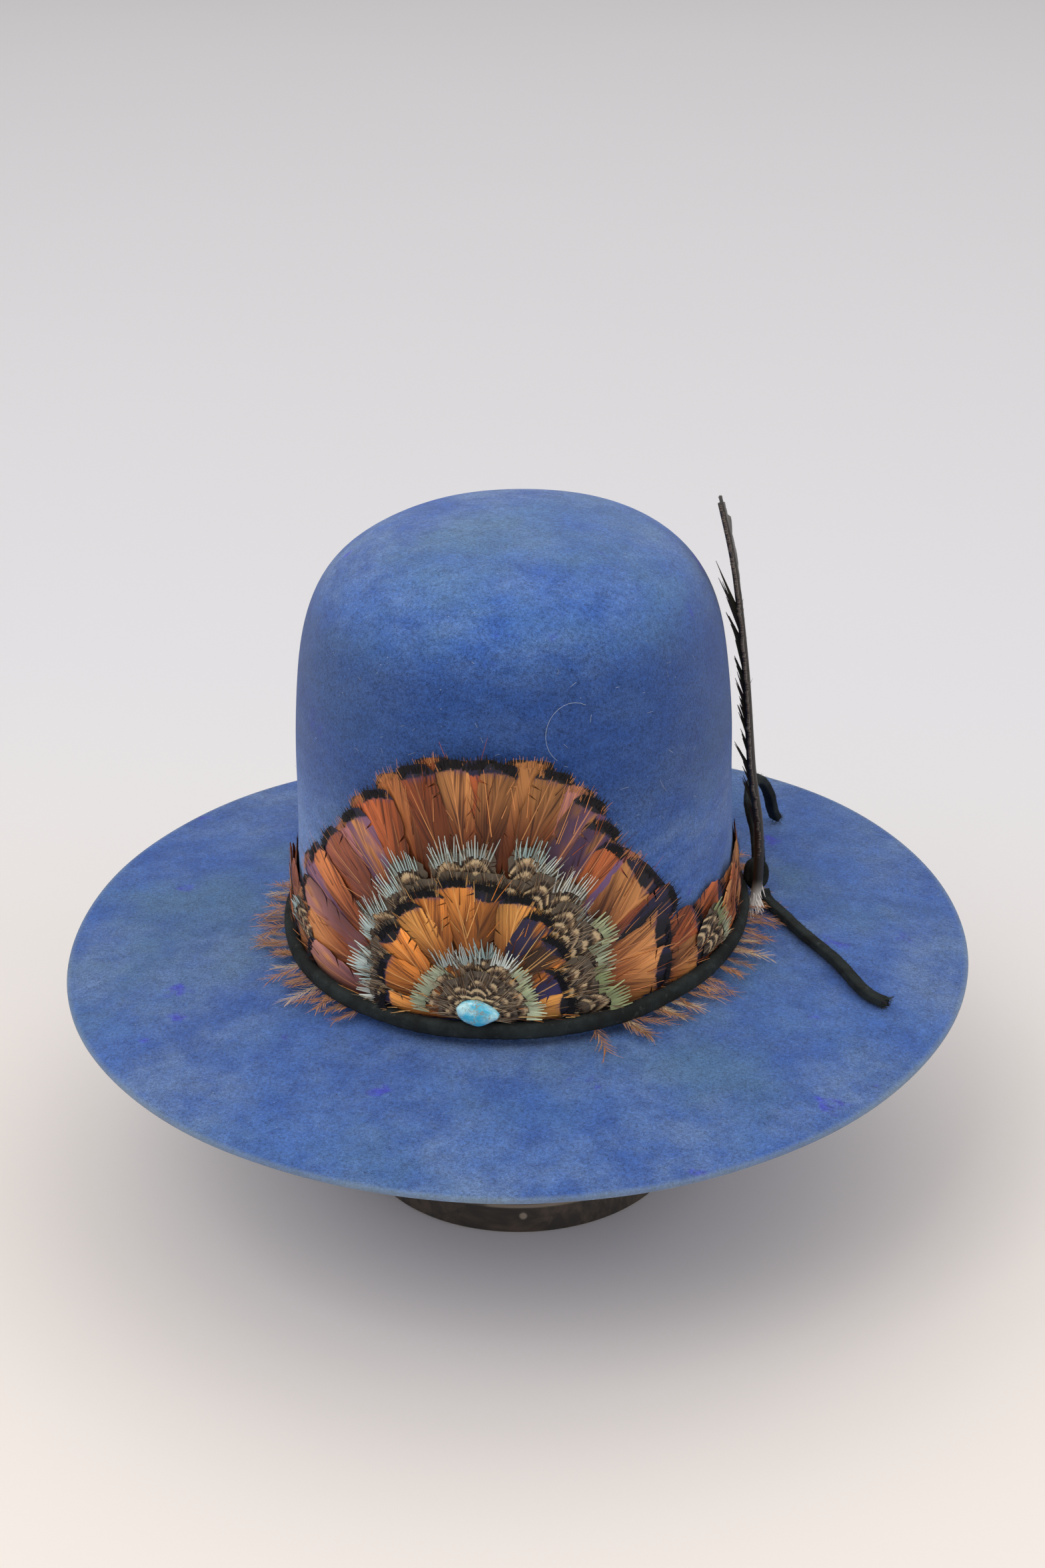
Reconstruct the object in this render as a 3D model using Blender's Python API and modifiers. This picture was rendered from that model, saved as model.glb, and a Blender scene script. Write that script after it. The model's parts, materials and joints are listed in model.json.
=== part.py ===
"""A felt hat with a feather fan band, resting on a turned wooden stand.

Metres, +Z up. The origin is on the floor in the middle of the stand's foot. The hat's
front faces -Y and the wearer's left is +X. Heights named "level" are above the floor,
the others are above the middle of the lace that goes round the crown.
"""

import math

import bmesh
import bpy
import numpy as np
from mathutils import Vector

# Driving dimensions, in metres
GAP = 0.0003
LACE_LEVEL = 0.1148
AROUND = 56
CURVE_SAMPLES = 720
CURVE_STEPS = 20
WELD = 0.00001

FELT_THICKNESS = 0.0022
CROWN_HALF_WIDTH = 0.0867
CROWN_HALF_DEPTH = 0.0988
CROWN_HEIGHT = 0.1612
CROWN_TAPER = 0.05
SHOULDER_POWER = 7.5
CAP_POWER = 3.0
CROWN_ROWS = 13
ROOT_DROP = 0.0063
ROOT_FILLET = 0.0025
FILLET_ROWS = 2
BRIM_HALF_WIDTH = 0.1806
BRIM_HALF_DEPTH = 0.1878
BRIM_DROOP = 0.0076
DROOP_POWER = 1.2
BRIM_ROWS = 4
# The brim edge's waves: how many round the hat, and the heights of its cosine and sine
BRIM_WAVES = (
    (2, -0.0010, -0.0010),
    (3, 0.0009, 0.0002),
    (4, -0.0004, -0.0007),
)

BAND_INNER = 0.0005
BAND_OUTER = 0.0013
# The band's rows from its upper edge down: height, share of the feathers' rise, and ridge
BAND_ROWS = (
    (0.0315, 1.0, -0.0001),
    (0.0250, 1.0, 0.0003),
    (0.0180, 1.0, -0.0002),
    (0.0112, 1.0, 0.0003),
    (0.0046, 1.0, -0.0001),
    (0.0037, 0.0, 0.0),
    (-0.0015, 0.0, 0.0),
)
BAND_INNER_ROWS = (5, 2, 0)
PLATE_SHARP = 25.0
BAND_FIRST_ROOT = 0.0890
BAND_STEP = 0.0262
BAND_TIPS = 8
BAND_FIRST_STEP = 0.0195
# A feather's places from its root to its tip: share of the step, rise and edge height
BAND_STATIONS = (
    (0.03, 0.0003, -0.0012),
    (0.50, 0.0010, 0.0012),
    (1.00, 0.0017, -0.0016),
)
BAND_FRONT_STEP = 0.0088
# The locks that lie over the brim, one for each place along the band's sides in turn
LOCK_REACHES = (0.0135, 0.0060, 0.0115, 0.0050, 0.0145, 0.0070, 0.0120, 0.0045)
LOCKS_FROM = 0.055
LOCKS_TO = 0.170
LOCK_LEAST = 0.0032
LOCK_TIP_HEIGHT = -0.0060
LOCK_TOP = -0.0037
LOCK_UNDER = -0.0049
BAND_BOTTOM = -0.0040

FAN_CENTRE = (0.003, 0.0085)
FAN_FOOT = 0.0038
FAN_HOLE = 0.0015
FAN_RIDGE = 0.0004
TIP_ROUNDING = 1.5
FAN_INNER = 0.0021
FAN_COLUMNS = 36
FAN_END_ANGLE = 12.0
FAN_STEP = 0.0003
# The fan's rings from the middle out: tip's reach to the side and upwards, columns to a
# feather, depth of the notch between tips, and how far root and tip stand off the felt
FAN_RINGS = (
    ("heart", 0.025, 0.026, 4, 0.0025, 0.0054, 0.0057),
    ("gold", 0.036, 0.050, 4, 0.0040, 0.0045, 0.0050),
    ("grey", 0.055, 0.070, 2, 0.0035, 0.0036, 0.0042),
    ("rust", 0.083, 0.099, 2, 0.0050, 0.0028, 0.0034),
)

LACE_HALF_HEIGHT = 0.00325
LACE_HALF_THICKNESS = 0.0024
LACE_SIDES = 8
LACE_SHARP = 60.0
LACE_FRONT_BULGE = 0.0026
LACE_FRONT_SPREAD = 0.085
LACE_FRONT_POWER = 4
TAIL_RADIUS = 0.0025
TAIL_POINTS = 18
TAIL_BEVEL = 2

# The free ends' routes from the knot: x, y, and height, or none where it lies on the brim
FRONT_TAIL = (
    (0.0971, 0.0255, -0.0004),
    (0.0990, 0.0225, -0.0034),
    (0.1063, 0.0126, None),
    (0.1140, 0.0006, None),
    (0.1290, -0.0193, None),
    (0.1409, -0.0394, None),
    (0.1491, -0.0457, None),
)
BACK_TAIL = (
    (0.0943, 0.0360, 0.0063),
    (0.0925, 0.0460, 0.0150),
    (0.0888, 0.0570, 0.0230),
    (0.0885, 0.0700, 0.0265),
    (0.0905, 0.0840, 0.0225),
    (0.0936, 0.0962, 0.0110),
    (0.0951, 0.1040, -0.0008),
    (0.0963, 0.1088, None),
)

KNOT_PLACE = 0.1724
KNOT_HEIGHT = 0.0052
KNOT_OFF = 0.0108
KNOT_RING = 0.0034
KNOT_TALL = 1.35
KNOT_LACE = 0.0026
KNOT_STEPS = 14
# The knot's turns of lace: tilt from upright and swing round in degrees, and place outwards
KNOT_TURNS = (
    (20.0, 25.0, 0.0),
    (-55.0, 80.0, -0.0004),
)

STONE_PLACE = 0.0034
STONE_HEIGHT = 0.0100
STONE_HALF_LENGTH = 0.0071
STONE_HALF_HEIGHT = 0.00515
STONE_HALF_THICKNESS = 0.0030
STONE_OFF = 0.0086
STONE_POINT = 0.40
STONE_LUMP = 0.04
STONE_SLOPE = -0.0006
STONE_SIDES = 14
STONE_ROWS = 9

# The side feather's quill from its foot up: x, y and height above the lace
QUILL_POINTS = (
    (0.0938, 0.0150, -0.0034),
    (0.0949, 0.0170, 0.0030),
    (0.0955, 0.0184, 0.0116),
    (0.0949, 0.0190, 0.0325),
    (0.0917, 0.0184, 0.0560),
    (0.0887, 0.0179, 0.0941),
    (0.0855, 0.0173, 0.1237),
    (0.0822, 0.0168, 0.1453),
    (0.0765, 0.0157, 0.1702),
)
QUILL_FOOT_RADIUS = 0.0021
QUILL_TIP_RADIUS = 0.0008
VANE_THICKNESS = 0.0010
VANE_FRONT = 0.0055
VANE_BACK = 0.0200
VANE_CURL = 0.0035
VANE_BARB_RISE = 0.5
VANE_START = 0.12
VANE_END = 0.995
VANE_FOOT_WIDTH = 0.35
VANE_WIDENING = 1.6
VANE_TIP_NARROWING = 0.55
VANE_ROWS = 10
QUILL_BEVEL = 1
QUILL_EXTRA_ROWS = 4

STAND_BASE_RADIUS = 0.0653
STAND_BASE_HEIGHT = 0.0145
STAND_EDGE = 0.0012
STAND_POST_RADIUS = 0.0170
STAND_TOP_RADIUS = 0.0520
STAND_TOP_HEIGHT = 0.0160
STAND_TOP_CROWNING = 0.0084
STAND_DOME_ROWS = 3
ROUND_STEPS = 44


def crown_scale(rise):
    """How wide the crown is at a share of its height, against its foot."""
    rise = np.clip(rise, 0.0, 1.0)
    return (1 - CROWN_TAPER * rise) * (1 - rise**SHOULDER_POWER) ** (1 / CAP_POWER)


def crown_rises():
    """Shares of the crown's height from its top down to the lace, evenly spaced along the felt."""
    fine = np.linspace(1.0, 0.0, CURVE_SAMPLES)
    out = crown_scale(fine) * (CROWN_HALF_WIDTH + CROWN_HALF_DEPTH) / 2
    steps = np.hypot(np.diff(out), np.diff(fine * CROWN_HEIGHT))
    along = np.concatenate([[0.0], np.cumsum(steps)])
    return np.interp(np.linspace(0.0, along[-1], CROWN_ROWS + 1)[1:], along, fine)


def brim_height(share, turn):
    """The height of the brim's upper face at a share of the way out, at a turn from the front."""
    wave = sum(c * math.cos(n * turn) + s * math.sin(n * turn) for n, c, s in BRIM_WAVES)
    return -ROOT_DROP - BRIM_DROOP * share**DROOP_POWER + wave * share**2


def oval_ring(half_width, half_depth, height):
    """Points round an oval, from the hat's front towards +X. height may depend on the turn."""
    turns = [2 * math.pi * i / AROUND for i in range(AROUND)]
    return [
        (
            half_width * math.sin(turn),
            -half_depth * math.cos(turn),
            LACE_LEVEL + (height(turn) if callable(height) else height),
        )
        for turn in turns
    ]


def felt_rings():
    """The rings of the felt's outer face, from the top of the crown to the brim's edge."""
    rings = []
    for rise in crown_rises():
        scale = float(crown_scale(rise))
        rings.append(
            oval_ring(CROWN_HALF_WIDTH * scale, CROWN_HALF_DEPTH * scale, rise * CROWN_HEIGHT)
        )
    for row in range(FILLET_ROWS + 1):
        bend = math.pi / 2 * row / FILLET_ROWS
        out = ROOT_FILLET * (1 - math.cos(bend))
        height = ROOT_FILLET - ROOT_DROP - ROOT_FILLET * math.sin(bend)
        rings.append(oval_ring(CROWN_HALF_WIDTH + out, CROWN_HALF_DEPTH + out, height))
    for row in range(1, BRIM_ROWS + 1):
        share = row / BRIM_ROWS
        half_width = CROWN_HALF_WIDTH + ROOT_FILLET
        half_depth = CROWN_HALF_DEPTH + ROOT_FILLET
        half_width += (BRIM_HALF_WIDTH - half_width) * share
        half_depth += (BRIM_HALF_DEPTH - half_depth) * share
        rings.append(
            oval_ring(half_width, half_depth, lambda turn, share=share: brim_height(share, turn))
        )
    return rings


def foot_lengths():
    """Turns from the hat's front, and the way along the crown's foot to each."""
    turns = np.linspace(0.0, 2 * math.pi, CURVE_SAMPLES + 1)
    x = CROWN_HALF_WIDTH * np.sin(turns)
    y = -CROWN_HALF_DEPTH * np.cos(turns)
    steps = np.hypot(np.diff(x), np.diff(y))
    return turns, np.concatenate([[0.0], np.cumsum(steps)])


def perimeter():
    """The way round the crown's foot."""
    return float(foot_lengths()[1][-1])


def wall_turn(along):
    """The turn from the front at a distance along the crown's foot, positive towards +X."""
    turns, lengths = foot_lengths()
    return float(np.interp(along % lengths[-1], lengths, turns))


def wall_normal(turn):
    """The horizontal direction straight out of the crown at a turn from the front."""
    out = Vector((math.sin(turn) / CROWN_HALF_WIDTH, -math.cos(turn) / CROWN_HALF_DEPTH, 0.0))
    return out.normalized()


def wall_axes(along, height, off):
    """A place off the wall, and the ways sideways to the wearer's left, out and up there."""
    out = wall_normal(wall_turn(along))
    up = Vector((0.0, 0.0, 1.0))
    return on_wall(along, height, off), up.cross(out), out, up


def on_wall(along, height, off):
    """The point at a distance along the crown and a height above the lace, standing off the felt."""
    turn = wall_turn(along)
    scale = float(crown_scale(max(height, 0.0) / CROWN_HEIGHT))
    foot = Vector(
        (
            CROWN_HALF_WIDTH * scale * math.sin(turn),
            -CROWN_HALF_DEPTH * scale * math.cos(turn),
            LACE_LEVEL + height,
        )
    )
    return foot + wall_normal(turn) * off


def new_object(name, mesh, collection, material=None):
    """An object in a collection, with its material if it has one."""
    item = bpy.data.objects.new(name, mesh)
    collection.objects.link(item)
    if material:
        mesh.materials.append(material)
    return item


def finish_material(name, colour, roughness):
    """A Principled material of one colour."""
    material = bpy.data.materials.new(name)
    material.use_nodes = True
    shader = material.node_tree.nodes["Principled BSDF"]
    shader.inputs["Base Color"].default_value = (*colour, 1.0)
    shader.inputs["Roughness"].default_value = roughness
    shader.inputs["Metallic"].default_value = 0.0
    return material


def mesh_from(bm, name, smooth_below=40.0):
    """A mesh from a bmesh, shaded smooth below an angle in degrees."""
    mesh = bpy.data.meshes.new(name)
    bm.to_mesh(mesh)
    bm.free()
    mesh.shade_smooth()
    mesh.set_sharp_from_angle(angle=math.radians(smooth_below))
    return mesh


def loft(bm, rings, joined=False):
    """Faces between closed rings of points. joined also links the last ring to the first."""
    rows = [[bm.verts.new(point) for point in ring] for ring in rings]
    count = len(rows[0])
    for upper, lower in zip(rows, rows[1:] + rows[:1] if joined else rows[1:]):
        for i in range(count):
            j = (i + 1) % count
            bm.faces.new((upper[i], lower[i], lower[j], upper[j]))
    return rows


def close_ends(bm, rows):
    """Closes both ends of a loft whose rings run out on one side and back on the other."""
    for end in (rows[0], rows[-1]):
        for i in range(len(end) // 2 - 1):
            bm.faces.new((end[i], end[i + 1], end[-2 - i], end[-1 - i]))


def face_outwards(bm):
    """Turns the faces of a closed shape outwards."""
    bm.normal_update()
    bmesh.ops.recalc_face_normals(bm, faces=bm.faces)


def solidify(item, thickness):
    """Gives an open sheet a wall below its outer face."""
    wall = item.modifiers.new("wall", "SOLIDIFY")
    wall.thickness = thickness
    wall.offset = -1.0


def union(item, other, shapers):
    """Joins another object's shape to this one, and keeps the other as a helper."""
    shapers.objects.link(other)
    other.hide_render = True
    other.display_type = "WIRE"
    join = item.modifiers.new("join", "BOOLEAN")
    join.operation = "UNION"
    join.solver = "EXACT"
    join.object = other


def smooth_curve(points, count):
    """Points evenly far apart on a smooth curve through the route's own points."""
    route = [Vector(point) for point in points]
    route = [route[0] * 2 - route[1], *route, route[-1] * 2 - route[-2]]
    fine = []
    for p0, p1, p2, p3 in zip(route, route[1:], route[2:], route[3:]):
        for step in range(CURVE_STEPS):
            t = step / CURVE_STEPS
            fine.append(
                p1
                + (p2 - p0) * (t / 2)
                + (2 * p0 - 5 * p1 + 4 * p2 - p3) * (t**2 / 2)
                + (3 * p1 - p0 - 3 * p2 + p3) * (t**3 / 2)
            )
    fine.append(route[-2])
    cloud = np.array(fine)
    along = np.concatenate([[0.0], np.cumsum(np.linalg.norm(np.diff(cloud, axis=0), axis=1))])
    spots = np.linspace(0.0, along[-1], count)
    return [Vector([np.interp(spot, along, cloud[:, axis]) for axis in range(3)]) for spot in spots]


def tube(name, points, radii, collection, material, bevel):
    """A curve through points as a round tube with filled caps, with a radius for each point."""
    data = bpy.data.curves.new(name, "CURVE")
    data.dimensions = "3D"
    data.bevel_depth = 1.0
    data.bevel_resolution = bevel
    data.use_fill_caps = True
    data.materials.append(material)
    line = data.splines.new("POLY")
    line.points.add(len(points) - 1)
    for spot, point, radius in zip(line.points, points, radii):
        spot.co = (*point, 1.0)
        spot.radius = radius
    item = bpy.data.objects.new(name, data)
    collection.objects.link(item)
    return item


def tube_as_mesh(name, points, radii, collection, material, bevel):
    """A tube as a mesh with welded caps, which can be joined to another shape."""
    curve = tube(name, points, radii, collection, material, bevel)
    graph = bpy.context.evaluated_depsgraph_get()
    bm = bmesh.new()
    bm.from_mesh(bpy.data.meshes.new_from_object(curve.evaluated_get(graph)))
    bmesh.ops.remove_doubles(bm, verts=bm.verts, dist=WELD)
    bpy.data.curves.remove(curve.data)
    return new_object(name, mesh_from(bm, name), collection, material)


def build_felt(parts, material):
    """Crown and brim as one open sheet of felt with a wall."""
    bm = bmesh.new()
    rows = loft(bm, felt_rings())
    pole = bm.verts.new((0.0, 0.0, LACE_LEVEL + CROWN_HEIGHT))
    first = rows[0]
    for i in range(AROUND):
        bm.faces.new((pole, first[i], first[(i + 1) % AROUND]))
    item = new_object("felt_body", mesh_from(bm, "felt_body"), parts, material)
    solidify(item, FELT_THICKNESS)


def band_columns():
    """Places along the band all the way round: place, feathers' rise, edge and fringe's reach."""
    plain = int(BAND_FIRST_ROOT / BAND_FRONT_STEP)
    columns = [(BAND_FRONT_STEP * i, 0.0, 0.0) for i in range(plain + 1)]
    root = BAND_FIRST_ROOT
    for i in range(BAND_TIPS):
        step = BAND_STEP if i else BAND_FIRST_STEP
        columns += [(root + step * share, rise, edge) for share, rise, edge in BAND_STATIONS]
        root += step
    mirrored = [(-along, rise, edge) for along, rise, edge in reversed(columns[1:])]
    return [
        (along, rise, edge, lock_reach(along, i))
        for i, (along, rise, edge) in enumerate(columns + mirrored)
    ]


def lock_reach(along, index):
    """How far the fringe sticks out over the brim at a column."""
    if LOCKS_FROM < abs(along) < LOCKS_TO:
        return LOCK_REACHES[index % len(LOCK_REACHES)]
    return LOCK_LEAST


def band_section(along, rise, edge, reach):
    """The band's closed section at one place: outside down, fringe, and inside up."""
    heights = [height for height, _, _ in BAND_ROWS]
    heights[0] += edge
    points = [
        on_wall(along, height, BAND_OUTER + share * (rise + ridge))
        for height, (_, share, ridge) in zip(heights, BAND_ROWS)
    ]
    points.append(on_wall(along, LOCK_TOP, BAND_OUTER))
    points.append(on_wall(along, LOCK_TIP_HEIGHT, reach))
    points.append(on_wall(along, LOCK_UNDER, (BAND_INNER + BAND_OUTER) / 2))
    points.append(on_wall(along, BAND_BOTTOM, BAND_INNER))
    points += [on_wall(along, heights[row], BAND_INNER) for row in BAND_INNER_ROWS]
    return points


def band_mesh():
    """The feather band all the way round, as one closed strip."""
    bm = bmesh.new()
    loft(bm, [band_section(*column) for column in band_columns()], joined=True)
    face_outwards(bm)
    return mesh_from(bm, "feather_band", PLATE_SHARP)


def fan_angles():
    """The fan's columns: angle in radians, and column number, none for the two end columns."""
    inner = [(math.pi * i / FAN_COLUMNS, i) for i in range(FAN_COLUMNS + 1)]
    end = math.radians(FAN_END_ANGLE)
    return [(-end, None), *inner, (math.pi + end, None)]


def fan_section(angle, column):
    """The fan's closed section along one direction from its middle: outside out, inside back."""
    radii = []
    stands = []
    start = FAN_HOLE
    for _, side, top, to_feather, notch, root, tip in FAN_RINGS:
        off_ridge = 1.0
        if column is not None:
            off_ridge = abs((column % to_feather) * 2 / to_feather - 1)
        reach = side * top / math.hypot(top * math.cos(angle), side * math.sin(angle))
        reach -= notch * off_ridge**TIP_ROUNDING
        ridge = FAN_RIDGE * (1 - 2 * off_ridge)
        radii += [start, (start + reach) / 2, reach]
        stands += [root, (root + tip) / 2 + ridge, tip + ridge]
        start = reach + FAN_STEP

    def place(radius, off):
        along = FAN_CENTRE[0] + radius * math.cos(angle)
        height = max(FAN_CENTRE[1] + radius * math.sin(angle), FAN_FOOT)
        return on_wall(along, height, off)

    outer = [place(radius, off) for radius, off in zip(radii, stands)]
    inner = [place(radius, FAN_INNER) for radius in radii]
    return outer + inner[::-1]


def fan_mesh():
    """The feather fan as one closed solid: sections lofted from one side to the other."""
    bm = bmesh.new()
    close_ends(bm, loft(bm, [fan_section(angle, column) for angle, column in fan_angles()]))
    face_outwards(bm)
    return mesh_from(bm, "feather_fan", PLATE_SHARP)


def build_feathers(parts, material):
    """The band round the crown and the fan over its front."""
    new_object("feather_band", band_mesh(), parts, material)
    new_object("feather_fan", fan_mesh(), parts, material)


def lace_off(along):
    """How far the middle of the lace stands off the felt: further over the fan's foot."""
    bulge = LACE_FRONT_BULGE * math.exp(-((along / LACE_FRONT_SPREAD) ** LACE_FRONT_POWER))
    return BAND_OUTER + GAP + LACE_HALF_THICKNESS + bulge


def lace_section(along):
    """The lace's rounded section at a place along the crown."""
    middle = lace_off(along)
    angles = [2 * math.pi * (corner + 0.5) / LACE_SIDES for corner in range(LACE_SIDES)]
    return [
        on_wall(along, LACE_HALF_HEIGHT * math.sin(angle), middle + LACE_HALF_THICKNESS * math.cos(angle))
        for angle in angles
    ]


def build_lace(parts, material):
    """The lace loop: a rounded section carried round the crown."""
    round_way = perimeter()
    places = [round_way * (i / AROUND - 0.5) for i in range(AROUND)]
    bm = bmesh.new()
    loft(bm, [lace_section(place) for place in places], joined=True)
    face_outwards(bm)
    new_object("hat_cord", mesh_from(bm, "hat_cord", LACE_SHARP), parts, material)


def felt_top_under(x, y):
    """The height of the brim's upper face under a point, above the floor."""
    turn = math.atan2(x / BRIM_HALF_WIDTH, -y / BRIM_HALF_DEPTH)
    root_width = (CROWN_HALF_WIDTH + ROOT_FILLET) * math.sin(turn)
    root_depth = (CROWN_HALF_DEPTH + ROOT_FILLET) * math.cos(turn)
    root = math.hypot(root_width, root_depth)
    edge = math.hypot(BRIM_HALF_WIDTH * math.sin(turn), BRIM_HALF_DEPTH * math.cos(turn))
    share = min(max((math.hypot(x, y) - root) / (edge - root), 0.0), 1.0)
    return LACE_LEVEL + brim_height(share, turn)


def build_tails(parts, material):
    """The lace's two free ends, from the knot to the brim."""
    for name, route in (("cord_tail_front", FRONT_TAIL), ("cord_tail_back", BACK_TAIL)):
        points = []
        for x, y, height in route:
            lying = felt_top_under(x, y) + GAP + TAIL_RADIUS
            points.append((x, y, lying if height is None else LACE_LEVEL + height))
        curve = smooth_curve(points, TAIL_POINTS)
        tube(name, curve, [TAIL_RADIUS] * len(curve), parts, material, TAIL_BEVEL)


def knot_turn(middle, side, out, up, tilt, swing):
    """One turn of lace in the knot, as a mesh: a round section carried round an oval."""
    first = up * math.cos(tilt) + side * math.sin(tilt)
    second = out * math.cos(swing) + first.cross(out) * math.sin(swing)
    across = first.cross(second).normalized()
    rows = []
    for i in range(KNOT_STEPS):
        angle = 2 * math.pi * i / KNOT_STEPS
        way = first * math.cos(angle) * KNOT_TALL + second * math.sin(angle)
        centre = middle + way * KNOT_RING
        away = way.normalized()
        corners = [2 * math.pi * j / LACE_SIDES for j in range(LACE_SIDES)]
        rows.append([centre + (away * math.cos(c) + across * math.sin(c)) * KNOT_LACE for c in corners])
    bm = bmesh.new()
    loft(bm, rows, joined=True)
    face_outwards(bm)
    return mesh_from(bm, "knot_turn")


def build_knot(parts, shapers, material):
    """The lace's knot: two turns of lace through each other, outside the lace loop."""
    middle, side, out, up = wall_axes(KNOT_PLACE, KNOT_HEIGHT, KNOT_OFF)
    turns = [
        knot_turn(middle + out * shift, side, out, up, math.radians(tilt), math.radians(swing))
        for tilt, swing, shift in KNOT_TURNS
    ]
    item = new_object("cord_knot", turns[0], parts, material)
    union(item, bpy.data.objects.new("knot_turn", turns[1]), shapers)


def build_stone(parts, material):
    """The turquoise nugget, a rounded pebble that narrows to the wearer's left."""
    middle, side, out, up = wall_axes(STONE_PLACE, STONE_HEIGHT, STONE_OFF)
    bm = bmesh.new()
    bmesh.ops.create_uvsphere(bm, u_segments=STONE_SIDES, v_segments=STONE_ROWS, radius=1.0)
    for vert in bm.verts:
        x, y, z = vert.co
        narrow = 1 - STONE_POINT * (x + 1) / 2 * abs(x)
        lump = 1 + STONE_LUMP * math.sin(3 * x + 2 * y) * math.cos(4 * z + x)
        across = side * x * STONE_HALF_LENGTH
        through = out * y * STONE_HALF_THICKNESS
        upright = up * (z * STONE_HALF_HEIGHT * narrow + STONE_SLOPE * x)
        vert.co = middle + (across + through + upright) * lump
    face_outwards(bm)
    new_object("turquoise_nugget", mesh_from(bm, "turquoise_nugget"), parts, material)


def vane_section(spot, share):
    """The vane's closed section at a place on the quill: inner face out, outer face back."""
    wide = min(1.0, VANE_FOOT_WIDTH + VANE_WIDENING * share)
    wide *= 1 - VANE_TIP_NARROWING * share**3
    faces = []
    for half in (-VANE_THICKNESS / 2, VANE_THICKNESS / 2):
        face = []
        for across in (-VANE_FRONT, 0.0, VANE_BACK / 2, VANE_BACK):
            curl = VANE_CURL * (max(across, 0.0) / VANE_BACK) ** 2
            rise = VANE_BARB_RISE * abs(across)
            face.append(spot + Vector((half - curl * wide, across * wide, rise * wide)))
        faces.append(face)
    return faces[0] + faces[1][::-1]


def build_side_feather(parts, shapers, material):
    """The standing feather: a vane along a quill, joined into one piece."""
    route = [(x, y, LACE_LEVEL + height) for x, y, height in QUILL_POINTS]
    line = smooth_curve(route, VANE_ROWS + QUILL_EXTRA_ROWS)
    radii = np.linspace(QUILL_FOOT_RADIUS, QUILL_TIP_RADIUS, len(line))
    quill = tube_as_mesh("side_feather", line, radii, parts, material, QUILL_BEVEL)
    fine = smooth_curve(route, CURVE_SAMPLES)
    sections = []
    for i in range(VANE_ROWS + 1):
        share = i / VANE_ROWS
        spot = VANE_START + (VANE_END - VANE_START) * share
        sections.append(vane_section(fine[round(spot * (CURVE_SAMPLES - 1))], share))
    bm = bmesh.new()
    close_ends(bm, loft(bm, sections))
    face_outwards(bm)
    union(quill, bpy.data.objects.new("vane", mesh_from(bm, "vane")), shapers)


def turned(name, profile, collection, material):
    """A turned piece from the outline of its outer side, top to bottom, as radius and level."""
    mesh = bpy.data.meshes.new(name)
    points = [(radius, 0.0, level) for radius, level in profile]
    mesh.from_pydata(points, [(i, i + 1) for i in range(len(points) - 1)], [])
    item = new_object(name, mesh, collection, material)
    screw = item.modifiers.new("turn", "SCREW")
    screw.steps = ROUND_STEPS
    screw.render_steps = ROUND_STEPS
    screw.use_merge_vertices = True
    screw.merge_threshold = WELD
    screw.use_smooth_shade = True


def build_stand(parts, material):
    """The turned wooden stand: foot, post and the domed top under the crown."""
    foot_top = STAND_BASE_HEIGHT
    dome_top = LACE_LEVEL + CROWN_HEIGHT - FELT_THICKNESS - GAP
    top_bottom = dome_top - STAND_TOP_HEIGHT
    foot = [
        (0.0, foot_top),
        (STAND_BASE_RADIUS - STAND_EDGE, foot_top),
        (STAND_BASE_RADIUS, foot_top - STAND_EDGE),
        (STAND_BASE_RADIUS, 0.0),
        (0.0, 0.0),
    ]
    post = [
        (0.0, top_bottom - GAP),
        (STAND_POST_RADIUS, top_bottom - GAP),
        (STAND_POST_RADIUS, foot_top + GAP),
        (0.0, foot_top + GAP),
    ]
    shares = [i / STAND_DOME_ROWS for i in range(STAND_DOME_ROWS + 1)]
    dome = [(STAND_TOP_RADIUS * s, dome_top - STAND_TOP_CROWNING * s**2) for s in shares]
    dome.append((STAND_TOP_RADIUS, top_bottom))
    dome.append((0.0, top_bottom))
    turned("stand_base", foot, parts, material)
    turned("stand_post", post, parts, material)
    turned("stand_top", dome, parts, material)


def main():
    """Builds every piece."""
    for item in list(bpy.data.objects):
        bpy.data.objects.remove(item, do_unlink=True)
    parts = bpy.data.collections.new("felt_hat")
    shapers = bpy.data.collections.new("shapers")
    for collection in (parts, shapers):
        bpy.context.scene.collection.children.link(collection)
    felt = finish_material("blue_felt", (0.06, 0.16, 0.45), 0.95)
    feather = finish_material("feathers", (0.42, 0.16, 0.04), 0.7)
    quill = finish_material("dark_feather", (0.03, 0.022, 0.02), 0.6)
    leather = finish_material("dark_lace", (0.02, 0.03, 0.03), 0.8)
    stone = finish_material("turquoise", (0.1, 0.5, 0.62), 0.3)
    wood = finish_material("dark_wood", (0.04, 0.03, 0.025), 0.7)
    build_felt(parts, felt)
    build_feathers(parts, feather)
    build_lace(parts, leather)
    build_knot(parts, shapers, leather)
    build_tails(parts, leather)
    build_stone(parts, stone)
    build_side_feather(parts, shapers, quill)
    build_stand(parts, wood)


main()
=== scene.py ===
"""A felt hat with a feather fan band on a turned wooden stand, dressed over its solids.

Metres, +Z up. The hat's front faces -Y and the wearer's left is +X. Most of the trim is
laid out flat first, as it would lie on an unrolled crown: the way along the crown's foot
from the hat's front, the height above the middle of the lace, and the distance off the
felt. CrownForm then wraps it round the crown.
"""

import json
import logging
import math
from collections.abc import Callable, Iterable, Sequence
from dataclasses import dataclass, field
from enum import Enum
from typing import Any

import bmesh
import bpy
import numpy as np
from mathutils import Matrix, Quaternion, Vector

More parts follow.
